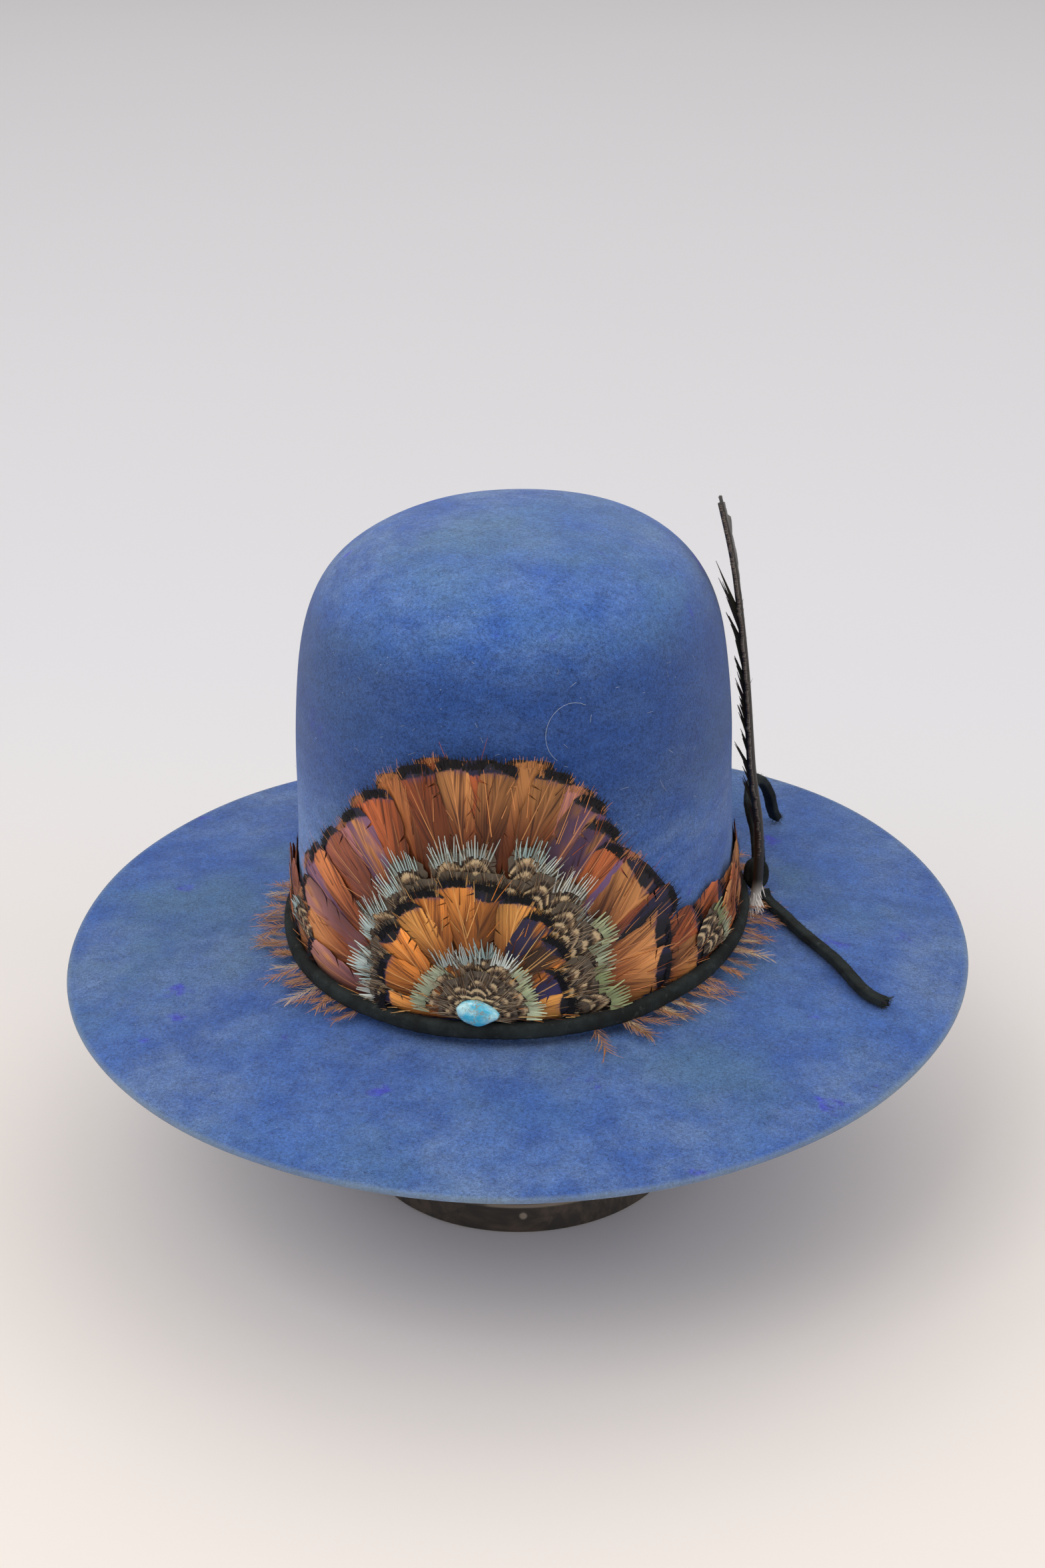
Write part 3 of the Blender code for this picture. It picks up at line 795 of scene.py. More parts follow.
@dataclass(frozen=True)
class VaneFinish:
    """A feather's vane.

    Attributes:
        name: the material's name.
        body: the vane's main colour.
        warm: the main colour of some feathers.
        root: its colour towards the quill's foot.
        dark: the colour of its darker streaks.
        light: the colour of its lighter streaks.
        tip: the colour of its tip.
        marking: how it is marked.
        sheen: a second colour that some feathers take.
        gloss: the oily blue at the dark tips and on a few whole feathers.
        black: the dark scallops.
        cream: the pale scallops.
        scallops: each dark scallop's distance from the tip and its width, in lengths.
    """

    name: str
    body: Colour
    warm: Colour
    root: Colour
    dark: Colour
    light: Colour
    tip: Colour
    marking: Marking
    sheen: Colour
    gloss: Colour = (0.040, 0.034, 0.125)
    black: Colour = (0.012, 0.009, 0.008)
    cream: Colour = (0.66, 0.48, 0.27)
    scallops: tuple[Row, ...] = ((0.16, 0.120), (0.40, 0.110), (0.63, 0.090))

    def paint(self) -> Material:
        """Makes the material from the vane's own attributes.

        Returns:
            The material.
        """
        p = Paint(self.name, 0.55, 0.3)
        across, along, _ = p.parts(p.attribute("place"))
        tone, mark, hue = p.parts(p.attribute("tone"))
        seed, lean, shift = p.parts(p.attribute("seed"))
        side = across.absolute()
        flow = along - 0.75 * side
        fine = p.noise(p.vector(flow * 70.0, across * 1.6, seed * 37.0), 1.0, 3.0, 0.65)
        broad = p.noise(p.vector(flow * 10.0, across, seed * 53.0), 1.0, 3.0, 0.6)
        soft = p.noise(p.vector(across * 1.6, along * 2.6, seed * 91.0), 1.0, 2.0)
        body = p.mix(shift.step(0.20, 0.80), self.body, self.warm)
        colour = p.mix(along.step(0.25, 0.80), self.root, body)
        colour = p.mix(broad.step(0.42, 0.70) * 0.90, colour, self.dark)
        colour = p.mix(fine.step(0.52, 0.76) * 0.22, colour, self.light)
        colour = p.mix(hue.step(0.35, 1.0) * soft.step(0.30, 0.52), colour, self.sheen)
        oily = hue.step(1.0, 1.8) * soft.step(0.34, 0.58)
        colour = p.mix(oily * (0.95 - 0.55 * fine), colour, self.gloss)
        # Painted light and shade: one half of each vane lighter than the other, and the vane darker
        # towards its root, where the feathers overlap.
        painted_lighting = (1.0 + 1.2 * across * (lean - 0.5)) * (0.55 + 0.45 * along.step(0.30, 0.75))
        colour = p.shade(colour, (0.08 + 0.85 * tone + 0.30 * fine + 0.50 * soft) * painted_lighting)
        depth = 0.95 - 0.12 * side * side - along
        ragged = depth + 0.07 * (broad - 0.5) + 0.02 * (fine - 0.5)
        if self.marking is Marking.TIPPED:
            past = ragged - mark * (0.125 - 0.160 * side * side)
            shine = past.step(0.060, -0.010) * broad.step(0.44, 0.60) * mark.step(0.15, 0.40)
            colour = p.mix(shine * 0.55, colour, self.gloss)
            tip = p.mix(soft.step(0.45, 0.62) * 0.28, self.tip, self.gloss)
            colour = p.mix(past.step(0.008, -0.008), colour, tip)
        else:
            marked = ragged - 0.30 * side * side + 0.14 * (shift - 0.5) + 0.16 * (fine - 0.5)
            colour = self.scallop(p, colour, marked, fine)
        quill = side.step(0.050, 0.02) * along.step(0.98, 0.80)
        colour = p.mix(quill * 0.6 * lean, colour, self.light)
        return p.finish(colour, 0.40 + 0.35 * fine, fine * 0.6 + broad * 0.4, 0.0003, 0.55)

    def scallop(self, p: Paint, colour: Value, depth: Value, fine: Value) -> Value:
        """Adds the cream and black scallops and the grey tip of a game bird's feather.

        Args:
            p: the material in the making.
            colour: the colour so far.
            depth: how far from the tip's edge it is.
            fine: the barbs' noise.

        Returns:
            The marked colour.
        """
        for middle, width in self.scallops:
            colour = p.mix(depth.band(middle, width, 0.020) * 0.9, colour, self.black)
            line = depth.band(middle + width * 0.62, 0.070, 0.012) * fine.step(0.28, 0.40)
            colour = p.mix(line * 0.95, colour, self.cream)
        colour = p.mix(depth.step(0.12, 0.06), colour, self.tip)
        return p.shade(colour, 0.75 + 0.5 * fine)


@dataclass(frozen=True)
class BarbFinish:
    """Loose barbs, which bring their own colour.

    Attributes:
        name: the material's name.
    """

    name: str = "loose_barbs"

    def paint(self) -> Material:
        """Makes the material.

        Returns:
            The material.
        """
        p = Paint(self.name, 0.55, 0.2)
        reach, _, _ = p.parts(p.attribute("reach"))
        colour = p.shade(p.attribute("tint", "Color"), 0.70 + 0.45 * reach)
        return p.finish(colour, 0.45 + 0.2 * p.noise(p.place(), 300.0))


@dataclass(frozen=True)
class SuedeFinish:
    """Green-black suede with a short fuzz, in its three colours."""

    dark: Colour = (0.0125, 0.0145, 0.0140)
    green: Colour = (0.0255, 0.0320, 0.0315)
    worn: Colour = (0.0600, 0.0640, 0.0600)

    def paint(self) -> Material:
        """Makes the material.

        Returns:
            The material.
        """
        p = Paint("green_black_suede", 0.9, 0.15)
        at = p.place()
        clouds = p.noise(at, 90.0, 4.0, 0.6)
        fuzz = p.noise(at, 1500.0, 3.0, 0.8)
        worn = p.noise(at, 260.0, 4.0, 0.7)
        colour = p.mix(clouds.step(0.35, 0.65), self.dark, self.green)
        colour = p.mix(worn.step(0.56, 0.74) * 0.6, colour, self.worn)
        colour = p.shade(colour, 0.60 + 0.80 * fuzz)
        return p.finish(colour, 0.80 + 0.15 * clouds, fuzz * 0.7 + clouds * 0.3, 0.0003, 0.8)


@dataclass(frozen=True)
class TurquoiseFinish:
    """Polished turquoise with pale clouds and brown matrix marks."""

    blue: Colour = (0.060, 0.480, 0.700)
    pale: Colour = (0.460, 0.790, 0.850)
    matrix: Colour = (0.300, 0.230, 0.120)

    def paint(self) -> Material:
        """Makes the material.

        Returns:
            The material.
        """
        p = Paint("turquoise_stone", 0.15, coat_weight=0.6, coat_roughness=0.05)
        at = p.place()
        clouds = p.noise(at, 180.0, 4.0, 0.6)
        veins = (p.noise(at, 260.0, 4.0, 0.7, 1.2) - 0.5).absolute()
        mark = veins.step(0.030, 0.010) * p.noise(at, 120.0, 2.0).step(0.46, 0.60)
        colour = p.mix(clouds.step(0.38, 0.62), self.blue, self.pale)
        colour = p.mix(mark * 0.85, colour, self.matrix)
        return p.finish(colour, 0.12 + 0.4 * mark, 1.0 - mark, 0.0002, 0.4)


@dataclass(frozen=True)
class QuillFinish:
    """The standing feather: brown-black, with paler edges in places."""

    dark: Colour = (0.014, 0.011, 0.010)
    brown: Colour = (0.036, 0.026, 0.020)
    pale: Colour = (0.200, 0.135, 0.100)

    def paint(self) -> Material:
        """Makes the material.

        Returns:
            The material.
        """
        p = Paint("brown_black_feather", 0.5, sheen_weight=0.2)
        across, along, _ = p.parts(p.attribute("place"))
        streak = p.noise(p.vector(across * 2.0, along * 260.0, 1.0), 1.0, 3.0, 0.6)
        colour = p.mix(streak.step(0.40, 0.75), self.dark, self.brown)
        rim = across.absolute().step(0.85, 1.0) * streak.step(0.45, 0.60)
        colour = p.mix(rim * 0.7, colour, self.pale)
        return p.finish(colour, 0.40 + 0.3 * streak, streak, 0.0003, 0.5)


@dataclass(frozen=True)
class HornFinish:
    """A quill's own horn, pale at the foot and dark above the heights of its turn."""

    pale: Colour = (0.84, 0.78, 0.72)
    dark: Colour = (0.018, 0.014, 0.012)
    turn: Row = (0.112, 0.124)

    def paint(self) -> Material:
        """Makes the material.

        Returns:
            The material.
        """
        p = Paint("quill_horn", 0.4)
        at = p.place()
        _, _, height = p.parts(at)
        streak = p.noise(at, 700.0, 2.0)
        colour = p.mix(height.step(*self.turn), self.pale, self.dark)
        return p.finish(p.shade(colour, 0.8 + 0.4 * streak), 0.35 + 0.2 * streak)


@dataclass(frozen=True)
class WoodFinish:
    """Dark stained wood with a little wear along the foot's upper edge.

    Attributes:
        dark: the dark grain.
        brown: the brown grain.
        worn: the bare wood where it is worn.
        knot_place: the middle of a small pale chip.
        edge_radius: the worn edge's distance from the stand's axis.
        edge_level: its height.
    """

    dark: Colour = (0.034, 0.028, 0.023)
    brown: Colour = (0.090, 0.066, 0.048)
    worn: Colour = (0.330, 0.270, 0.210)
    knot_place: Row = (0.0115, -0.0640, 0.0080)
    edge_radius: float = 0.0650
    edge_level: float = 0.0126

    def paint(self) -> Material:
        """Makes the material.

        Returns:
            The material.
        """
        p = Paint("dark_stained_wood", 0.6)
        at = p.place()
        x, y, z = p.parts(at)
        grain = p.noise(p.vector(x * 30.0, y * 420.0, z * 160.0), 1.0, 4.0, 0.6, 0.4)
        clouds = p.noise(at, 45.0, 3.0)
        colour = p.mix(grain.step(0.35, 0.70), self.dark, self.brown)
        out = (x * x + y * y).math("POWER", 0.5)
        edge = (out - self.edge_radius).absolute() + (z - self.edge_level).absolute()
        wear = edge.step(0.0016, 0.0006) * clouds.step(0.42, 0.60)
        colour = p.shade(p.mix(wear * 0.8, colour, self.worn), 0.8 + 0.4 * clouds)
        away = [part - middle for part, middle in zip((x, y, z), self.knot_place)]
        ring = (away[0] * away[0] + away[1] * away[1] + away[2] * away[2]).math("POWER", 0.5)
        colour = p.mix(ring.step(0.0020, 0.0010) * grain.step(0.25, 0.45), colour, self.worn)
        return p.finish(colour, 0.50 + 0.25 * grain, grain, 0.0003, 0.4)


@dataclass(frozen=True)
class FloorFinish:
    """The plain pale floor, a little cooler from its near to its far Y."""

    near: Colour = (0.860, 0.795, 0.745)
    far: Colour = (0.745, 0.735, 0.760)
    reach: Row = (-0.15, 0.55)

    def paint(self) -> Material:
        """Makes the material.

        Returns:
            The material.
        """
        p = Paint("pale_floor", 0.9, 0.1)
        at = p.place()
        _, back, _ = p.parts(at)
        colour = p.mix(back.step(*self.reach), self.near, self.far)
        return p.finish(p.shade(colour, 0.99 + 0.02 * p.noise(at, 2.0, 2.0)))


# Feathers


@dataclass(frozen=True)
class VaneForm:
    """The outline of one kind of feather, one unit long and two units wide.

    Attributes:
        rows: how many barb rows it has.
        root_width: its half width at the root.
        widest: where it is widest.
        tip_width: its half width at the tip.
        sweep: how far the barbs' ends lie beyond their roots.
        camber: how far its sides bend back.
        ragged: how uneven its edge is.
        splits: how many gaps its edge has.
        variants: how many different ones there are.
        columns: where its points lie across it.
    """

    rows: int = 11
    root_width: float = 0.45
    widest: float = 0.82
    tip_width: float = 0.72
    sweep: float = 0.10
    camber: float = 0.10
    ragged: float = 0.07
    splits: int = 2
    variants: int = 5
    columns: Row = (-1.0, -0.52, 0.0, 0.52, 1.0)

    def half_width(self, share: float) -> float:
        """Measures the outline.

        Args:
            share: a share of the length.

        Returns:
            The half width there.
        """
        if share < self.widest:
            rise = share / self.widest
            return self.root_width + (1 - self.root_width) * math.sin(rise * math.pi / 2)
        fall = (share - self.widest) / (1 - self.widest)
        return self.tip_width + (1 - self.tip_width) * math.sqrt(max(0.0, 1 - fall**2.2))

    def variant(self, name: str, rng: np.random.Generator) -> Item:
        """One feather's mesh, with its own ragged edge.

        Args:
            name: the mesh's name.
            rng: the source of chance.

        Returns:
            The mesh in an object, with its places as an attribute.
        """
        gaps = set(rng.choice(np.arange(3, self.rows - 1), self.splits, replace=False).tolist())
        count = len(self.columns)
        points, rows = [], []
        for i in range(self.rows + 1):
            share = i / self.rows
            wide = self.half_width(share)
            uneven = 1 + self.ragged * (rng.random(2) * 2 - 1)
            first = len(points)
            for shift in (-1.0, 1.0) if i in gaps else (0.0,):
                for q in self.columns:
                    x = q * wide * (uneven[0] if q < 0 else uneven[1])
                    y = 0.88 * share + self.sweep * abs(q) ** 1.4 * (1 - 0.45 * share**3)
                    y += shift * 0.022 * max(0.0, abs(q) - 0.5) + 0.07 * (1 - q * q) * share**3
                    points.append((x, y, -self.camber * q * q * wide))
            rows.append((first, len(points) - count))
        faces = [
            [above + j, above + j + 1, below + j + 1, below + j]
            for (_, above), (below, _) in zip(rows, rows[1:])
            for j in range(count - 1)
        ]
        item = mesh_object(name, points, faces)
        store(item, "place", points)
        return item


@dataclass(frozen=True)
class Feather:
    """One feather's place on the unrolled crown.

    Attributes:
        along: its tip's way along the crown's foot.
        height: its tip's height.
        angle: the way that it points, in degrees up from the wearer's left.
        length: its length.
        half_width: half its width.
        off: how far its middle stands off the felt.
        lift: how far its tip lifts, in degrees.
        mark: how deep its dark tip is: 0 for none, 1 for an eighth of its length.
        hue: how much it takes its second colour, up to 1, and its oily blue, from 1 to 1.8.
        tone: how light it is: about 0 for a dark one and 1 for a light one.
        roll: how far its left edge is raised, in degrees.
    """

    along: float
    height: float
    angle: float
    length: float
    half_width: float
    off: float
    lift: float = 2.0
    mark: float = 0.5
    hue: float = 0.0
    tone: float = 0.6
    roll: float = 0.0

    def root(self) -> tuple[float, float, float]:
        """Finds its root.

        Returns:
            The place on the unrolled crown.
        """
        x, y, _ = heading(self.angle, 0.0)
        back = self.length * math.tan(math.radians(self.lift)) / 2
        return self.along - x * self.length, self.height - y * self.length, self.off - back

    def spot(self, across: float, along: float, above: float) -> tuple[float, float, float]:
        """Finds a place on it.

        Args:
            across: the share of its half width, negative on one side.
            along: the share of its length.
            above: how far above the vane the place is.

        Returns:
            The place on the unrolled crown.
        """
        x, y, _ = heading(self.angle, 0.0)
        root = self.root()
        reach = self.length * along
        side = self.half_width * across
        rise = reach * math.tan(math.radians(self.lift)) - 0.1 * side * across
        return root[0] + x * reach + y * side, root[1] + y * reach - x * side, root[2] + rise + above

    def turn(self) -> tuple[float, float, float]:
        """Finds how its mesh is turned to lie flat on the unrolled crown.

        Returns:
            The turns about X, Y and Z.
        """
        x, y, _ = heading(self.angle, 0.0)
        lift = math.radians(self.lift)
        along = Vector((x * math.cos(lift), y * math.cos(lift), math.sin(lift)))
        side = along.cross(Vector((0.0, 0.0, 1.0))).normalized()
        side.rotate(Quaternion(along, math.radians(self.roll)))
        return tuple(Matrix((side, along, side.cross(along))).transposed().to_euler())


@dataclass
class Plumage:
    """Feathers of one kind, laid out flat and wrapped round the crown.

    Attributes:
        crown: the crown that carries them.
        form: their outline.
        seed: the seed of every chance in them.
        tuck_level: the height from which they lie free of the lace.
        tuck_off: how far off the felt they lie behind the lace.
        tuck_floor: the height under which they turn up and outwards, above the brim.
    """

    crown: CrownForm
    form: VaneForm
    seed: int
    tuck_level: float = 0.009
    tuck_off: float = 0.0014
    tuck_floor: float = -0.0042

    def __post_init__(self) -> None:
        """Starts with no feathers."""
        self.rng = np.random.default_rng(self.seed)
        self.feathers: list[Feather] = []

    def vary(self, spread: float) -> float:
        """A chance value up to a spread either way."""
        return float(self.rng.uniform(-spread, spread))

    def tree(self) -> Scatter:
        """Makes the tree that puts one of the variants on each point.

        Returns:
            The tree, with inputs for the variants and the finish.
        """
        tree = Scatter("feathers")
        variants = tree.size("Vanes", "NodeSocketCollection")
        inputs = {"Collection": variants, "Separate Children": True, "Reset Children": True}
        shapes = tree.node("GeometryNodeCollectionInfo", None, inputs)
        pick = {"Pick Instance": True, "Instance Index": tree.named("variant", "INT")}
        tree.close(shapes, pick)
        return tree

    def build(self, name: str, finish: Material, *nodes: str) -> None:
        """Makes the feathers as one wrapped piece.

        Args:
            name: the piece's name.
            finish: its material.
            nodes: the solids that it stands for.
        """
        count = len(self.feathers)
        variants = bpy.data.collections.new(name + "_vanes")
        for i in range(self.form.variants):
            item = self.form.variant(f"{name}_vane_{i}", self.rng)
            bpy.context.scene.collection.objects.unlink(item)
            variants.objects.link(item)
        cloud = mesh_object(name + "_roots", [f.root() for f in self.feathers], [])
        store(cloud, "turn", [f.turn() for f in self.feathers])
        store(cloud, "size", [(f.half_width, f.length, f.half_width) for f in self.feathers])
        store(cloud, "tone", [(f.tone, f.mark, f.hue) for f in self.feathers])
        store(cloud, "seed", self.rng.random((count, 3)))
        picks = self.rng.integers(0, self.form.variants, count).astype(np.int32)
        store(cloud, "variant", picks, "INT")
        piece = self.tree().make(name, cloud, {"Vanes": variants, "Finish": finish})
        for item in list(variants.objects):
            bpy.data.objects.remove(item, do_unlink=True)
        bpy.data.collections.remove(variants)
        self.tuck(piece)
        self.crown.wrap_mesh(piece)
        keep(piece, Slot.FEATHERS, *nodes)

    def tuck(self, item: Item) -> None:
        """Tucks what lies at the lace's height behind the lace, and turns the rest outwards.

        Args:
            item: a piece that is still laid out flat.
        """
        flat = read(item)
        share = np.clip(flat[:, 1] / self.tuck_level, 0.0, 1.0)
        share = share * share * (3 - 2 * share)
        behind = np.minimum(flat[:, 2], self.tuck_off + 0.05 * flat[:, 2])
        flat[:, 2] = np.maximum(behind + (flat[:, 2] - behind) * share, 0.0004)
        under = np.maximum(0.0, self.tuck_floor - flat[:, 1])
        flat[:, 1] += under * 0.8
        flat[:, 2] += under * 0.5
        write(item, flat)


# Loose barbs, fibres and hairs


@dataclass
class BarbBed:
    """Thin barbs, each a narrow strip.

    Attributes:
        crown: the crown that carries them.
        seed: the seed of every chance in them.
        segments: how many faces a barb has along it.
        roots: where each barb starts.
        turns: how each barb is turned.
        sizes: each barb's width, length and bend.
        tints: each barb's colour.
    """

    crown: CrownForm
    seed: int
    segments: int = 3
    roots: list[Row] = field(default_factory=list)
    turns: list[Row] = field(default_factory=list)
    sizes: list[Row] = field(default_factory=list)
    tints: list[Row] = field(default_factory=list)

    def __post_init__(self) -> None:
        """Starts the source of chance."""
        self.rng = np.random.default_rng(self.seed)

    def speckle(self, colour: Colour, low: float, high: float) -> Colour:
        """A colour with a chance shade, from low to high, for each of its parts."""
        return tuple(part * self.rng.uniform(low, high) for part in colour)

    def add(
        self,
        root: Sequence[float],
        way: Sequence[float],
        length: float,
        width: float,
        bend: float,
        tint: Sequence[float],
        face: Sequence[float] = (0.0, 0.0, 1.0),
    ) -> None:
        """Adds a barb.

        Args:
            root: where it starts.
            way: the way that it goes.
            length: how long it is.
            width: how wide it is.
            bend: how far its end bends towards its face.
            tint: its colour.
            face: the way that its flat side faces.
        """
        along = Vector(way).normalized()
        side = along.cross(Vector(face)).normalized()
        matrix = Matrix((side, along, side.cross(along))).transposed()
        self.roots.append(tuple(root))
        self.turns.append(tuple(matrix.to_euler()))
        self.sizes.append((width, length, bend))
        self.tints.append((*tint, 1.0))

    def tree(self) -> Scatter:
        """Makes the tree that puts a tapered strip on each point.

        Returns:
            The tree, with inputs for the strip's faces, its tip's width and its finish.
        """
        tree = Scatter("barbs")
        rows = tree.size("Faces", "NodeSocketInt") + 1.0
        narrow = tree.size("Tip", "NodeSocketFloat")
        inputs = {"Size X": 1.0, "Size Y": 1.0, "Vertices X": 2, "Vertices Y": rows}
        grid = tree.node("GeometryNodeMeshGrid", None, inputs)
        x, middle, _ = tree.parts(tree.node("GeometryNodeInputPosition"))
        y = middle + 0.5
        spot = tree.vector(x * (1.0 - y * (1.0 - narrow)), y, y * y)
        named = {"Geometry": grid, "Name": "reach", "Value": y}
        kept = {"data_type": "FLOAT", "domain": "POINT"}
        stored = tree.node("GeometryNodeStoreNamedAttribute", kept, named)
        shaped = tree.node("GeometryNodeSetPosition", None, {"Geometry": stored, "Position": spot})
        tree.close(shaped, {})
        return tree

    def build(self, name: str, finish: Material, tip: float, slot: Slot, wrapped: bool) -> Item:
        """Makes the barbs as one piece.

        Args:
            name: the piece's name.
            finish: its material.
            tip: how wide a barb's end is, against its root.
            slot: the record's slot that its finish belongs to.
            wrapped: whether the barbs were laid out on the unrolled crown.

        Returns:
            The piece.
        """
        cloud = mesh_object(name + "_roots", self.roots, [])
        store(cloud, "turn", self.turns)
        store(cloud, "size", self.sizes)
        store(cloud, "tint", self.tints, "FLOAT_COLOR")
        values = {"Faces": self.segments, "Tip": tip, "Finish": finish}
        piece = self.tree().make(name, cloud, values)
        if wrapped:
            self.crown.wrap_mesh(piece)
        return keep(piece, slot)


DARK_MARK = 0.18
FINE_BARB = 0.00034


class TrimBarbs(BarbBed):
    """The loose barbs of the fan and the band, which break up each feather's outline."""

    def tips(self, feather: Feather, finish: VaneFinish) -> None:
        """Gives a feather's tip its ragged ends.

        Args:
            feather: the feather.
            finish: its colours.
        """
        draw = self.rng.uniform
        dark = feather.mark > DARK_MARK
        for across in np.linspace(-0.74, 0.74, 44 if dark else 30):
            edge = 0.93 - 0.06 * across**2
            root = feather.spot(across, edge - draw(0.005, 0.045), 0.0002)
            way = heading(feather.angle - across * 20.0 + draw(-7.0, 7.0), 0.05)
            length = draw(0.0014, 0.0046)
            shade = draw(0.35, 0.90)
            black = dark and abs(across) < draw(0.5, 0.9)
            tint = tinted(finish.tip if black else finish.light, shade)
            width = 0.00058 if black else FINE_BARB
            self.add(root, way, length, width, draw(-0.0004, 0.0004), tint)

    def edges(self, feather: Feather, finish: VaneFinish, count: int) -> None:
        """Lays lighter loose barbs on a feather, from its quill to beyond its edges.

        Args:
            feather: the feather.
            finish: its colours.
            count: how many barbs.
        """
        draw = self.rng.uniform
        for _ in range(count):
            side = self.rng.choice((-1.0, 1.0))
            root = feather.spot(side * draw(0.1, 0.5), draw(0.35, 0.85), 0.0003)
            way = heading(feather.angle - side * draw(8.0, 24.0), 0.05)
            length = draw(0.35, 0.75) * feather.half_width * 2
            shade = draw(0.6, 1.1)
            base = (finish.light, finish.body, finish.dark)[self.rng.integers(0, 3)]
            self.add(root, way, length, 0.00032, draw(0.0, 0.0008), tinted(base, shade))

    def threads(self, feather: Feather, finish: VaneFinish) -> None:
        """Lays a long pale barb over the feather, or none, by chance.

        Args:
            feather: the feather.
            finish: its colours.
        """
        draw = self.rng.uniform
        for _ in range(self.rng.integers(0, 2)):
            root = feather.spot(draw(-0.5, 0.5), draw(0.30, 0.45), 0.0008)
            way = heading(feather.angle + draw(-8.0, 8.0), 0.03)
            length = feather.length * draw(0.40, 0.58)
            tint = self.speckle(finish.light, 0.75, 1.05)
            self.add(root, way, length, 0.00040, draw(-0.0006, 0.0010), tint)

    def comb(self, feather: Feather, length: float) -> None:
        """Gives a scalloped feather its comb of grey barbs.

        Args:
            feather: the feather.
            length: the barbs' length.
        """
        draw = self.rng.uniform
        grey = np.array((0.56, 0.57, 0.50))
        teal = np.array((0.24, 0.40, 0.40))
        green = np.array((0.26, 0.31, 0.11))
        inner = feather.length < 0.020
        low = abs(math.sin(math.radians(feather.angle))) < (0.82 if inner else 0.62)
        other = green if low and (inner or feather.along > 0) else teal
        share = draw(0.5, 0.9) if other is green else draw(0.1, 0.75)
        length *= (0.62 if inner else 0.78) if low else 1.0
        turned = draw(-14.0, 14.0)
        length *= draw(0.92, 1.32)
        # Painted light: combs towards -X are made lighter, where the light falls from.
        shade = draw(0.75, 1.15) * (1.55 if feather.along < -0.02 else 1.3)
        count, astray, shortest, width = (9, 3.0, 0.85, 0.0015) if low else (12, 8.0, 0.60, 0.00066)
        for across in np.linspace(-0.68, 0.68, count):
            root = feather.spot(across, 0.80 - 0.16 * across**2 + draw(-0.03, 0.03), 0.0004)
            way = heading(feather.angle + turned - across * 17.0 + draw(-astray, astray), 0.06)
            tint = (grey * (1 - share) + other * share) * shade * draw(0.65, 1.20)
            reach = length * draw(shortest, 1.1)
            self.add(root, way, reach, width, draw(-0.0006, 0.0010), tint)

    def fringe(self) -> None:
        """Adds the barbs that stick out over the brim below the lace."""
        draw = self.rng.uniform
        rust = np.array((0.44, 0.165, 0.060))
        cream = np.array((0.60, 0.43, 0.27))
        places = np.arange(0.046, self.crown.half_round(), 0.0027)
        for side, place in ((side, place) for side in (1.0, -1.0) for place in places):
            if self.rng.random() < 0.20:
                continue
            reach = draw(0.006, 0.015)
            shaft = np.array((side * draw(-0.2, 1.1), draw(-0.34, -0.14), 1.0))
            shaft /= np.linalg.norm(shaft)
            beside = np.array((shaft[2], 0.0, -shaft[0]))
            start = np.array((side * (place + draw(-0.003, 0.003)), -0.0012, 0.0050))
            base = cream if self.rng.random() < 0.20 else rust * draw(0.6, 1.2)
            for share in np.linspace(0.0, 0.9, 13):
                for turn in (-1.0, 1.0):
                    way = shaft + beside * turn * draw(0.25, 0.75)
                    root = start + shaft * reach * share
                    length = reach * draw(0.30, 0.50)
                    pale = draw(0.0, 0.45)
                    tint = (base * (1 - pale) + cream * pale) * draw(0.6, 1.3)
                    bend = draw(-0.0008, 0.0008)
                    self.add(root, way, length, FINE_BARB, bend, tint, (0.0, 1.0, 0.0))


# The feather trim


@dataclass(frozen=True)
class LongRing:
    """A ring of the fan whose long feathers are placed one by one.

    Attributes:
        finish: the feathers' finish.
        form: their outline.
        seed: the seed of their chances.
        length: a feather's length.
        off: how far they stand off the felt.
        tall: how much taller the ring is than its rows, which were read on the felt.
        rows: each feather's tip along and up and its half width, in millimetres, its dark
            tip's depth and its second colour.
    """

    finish: VaneFinish
    form: VaneForm
    seed: int
    length: float
    off: float
    tall: float
    rows: tuple[Row, ...]


@dataclass(frozen=True)
class ShortRing:
    """A ring of the fan whose short feathers stand at even turns.

    Attributes:
        side: its reach to the sides.
        top: its reach upwards.
        count: how many feathers it has.
        start: its first feather's angle in degrees.
        end: its last feather's angle.
        length: a feather's length.
        half_width: half a feather's width.
        off: how far it stands off the felt.
        comb: the length of the feathers' combs, or 0 for none.
        jitter: how uneven it is.
    """

    side: float
    top: float
    count: int
    start: float
    end: float
    length: float
    half_width: float
    off: float
    comb: float = 0.0
    jitter: float = 1.0

    def feathers(self, centre: Row, chance: Callable[[float], float]) -> Iterable[Feather]:
        """The ring's feathers.

        Args:
            centre: the fan's middle on the unrolled crown.
            chance: gives a chance value up to a spread either way.

        Yields:
            Each feather in turn.
        """
        for i in range(self.count):
            angle = self.start + (self.end - self.start) * i / (self.count - 1)
            angle += chance(3.0 * self.jitter)
            x, y, _ = heading(angle, 0.0)
            reach = self.side * self.top / math.hypot(self.top * x, self.side * y)
            reach *= 1 + chance(0.05 * self.jitter)
            yield Feather(
                along=centre[0] + reach * x,
                height=centre[1] + reach * y,
                angle=angle + chance(5.0 * self.jitter),
                length=self.length * (1 + chance(0.08)),
                half_width=self.half_width * (1 + chance(0.12)),
                off=self.off + chance(0.0004),
                lift=2.5 + chance(2.0),
                mark=max(0.0, 0.5 + chance(0.25)),
                tone=0.75 + chance(0.4),
            )


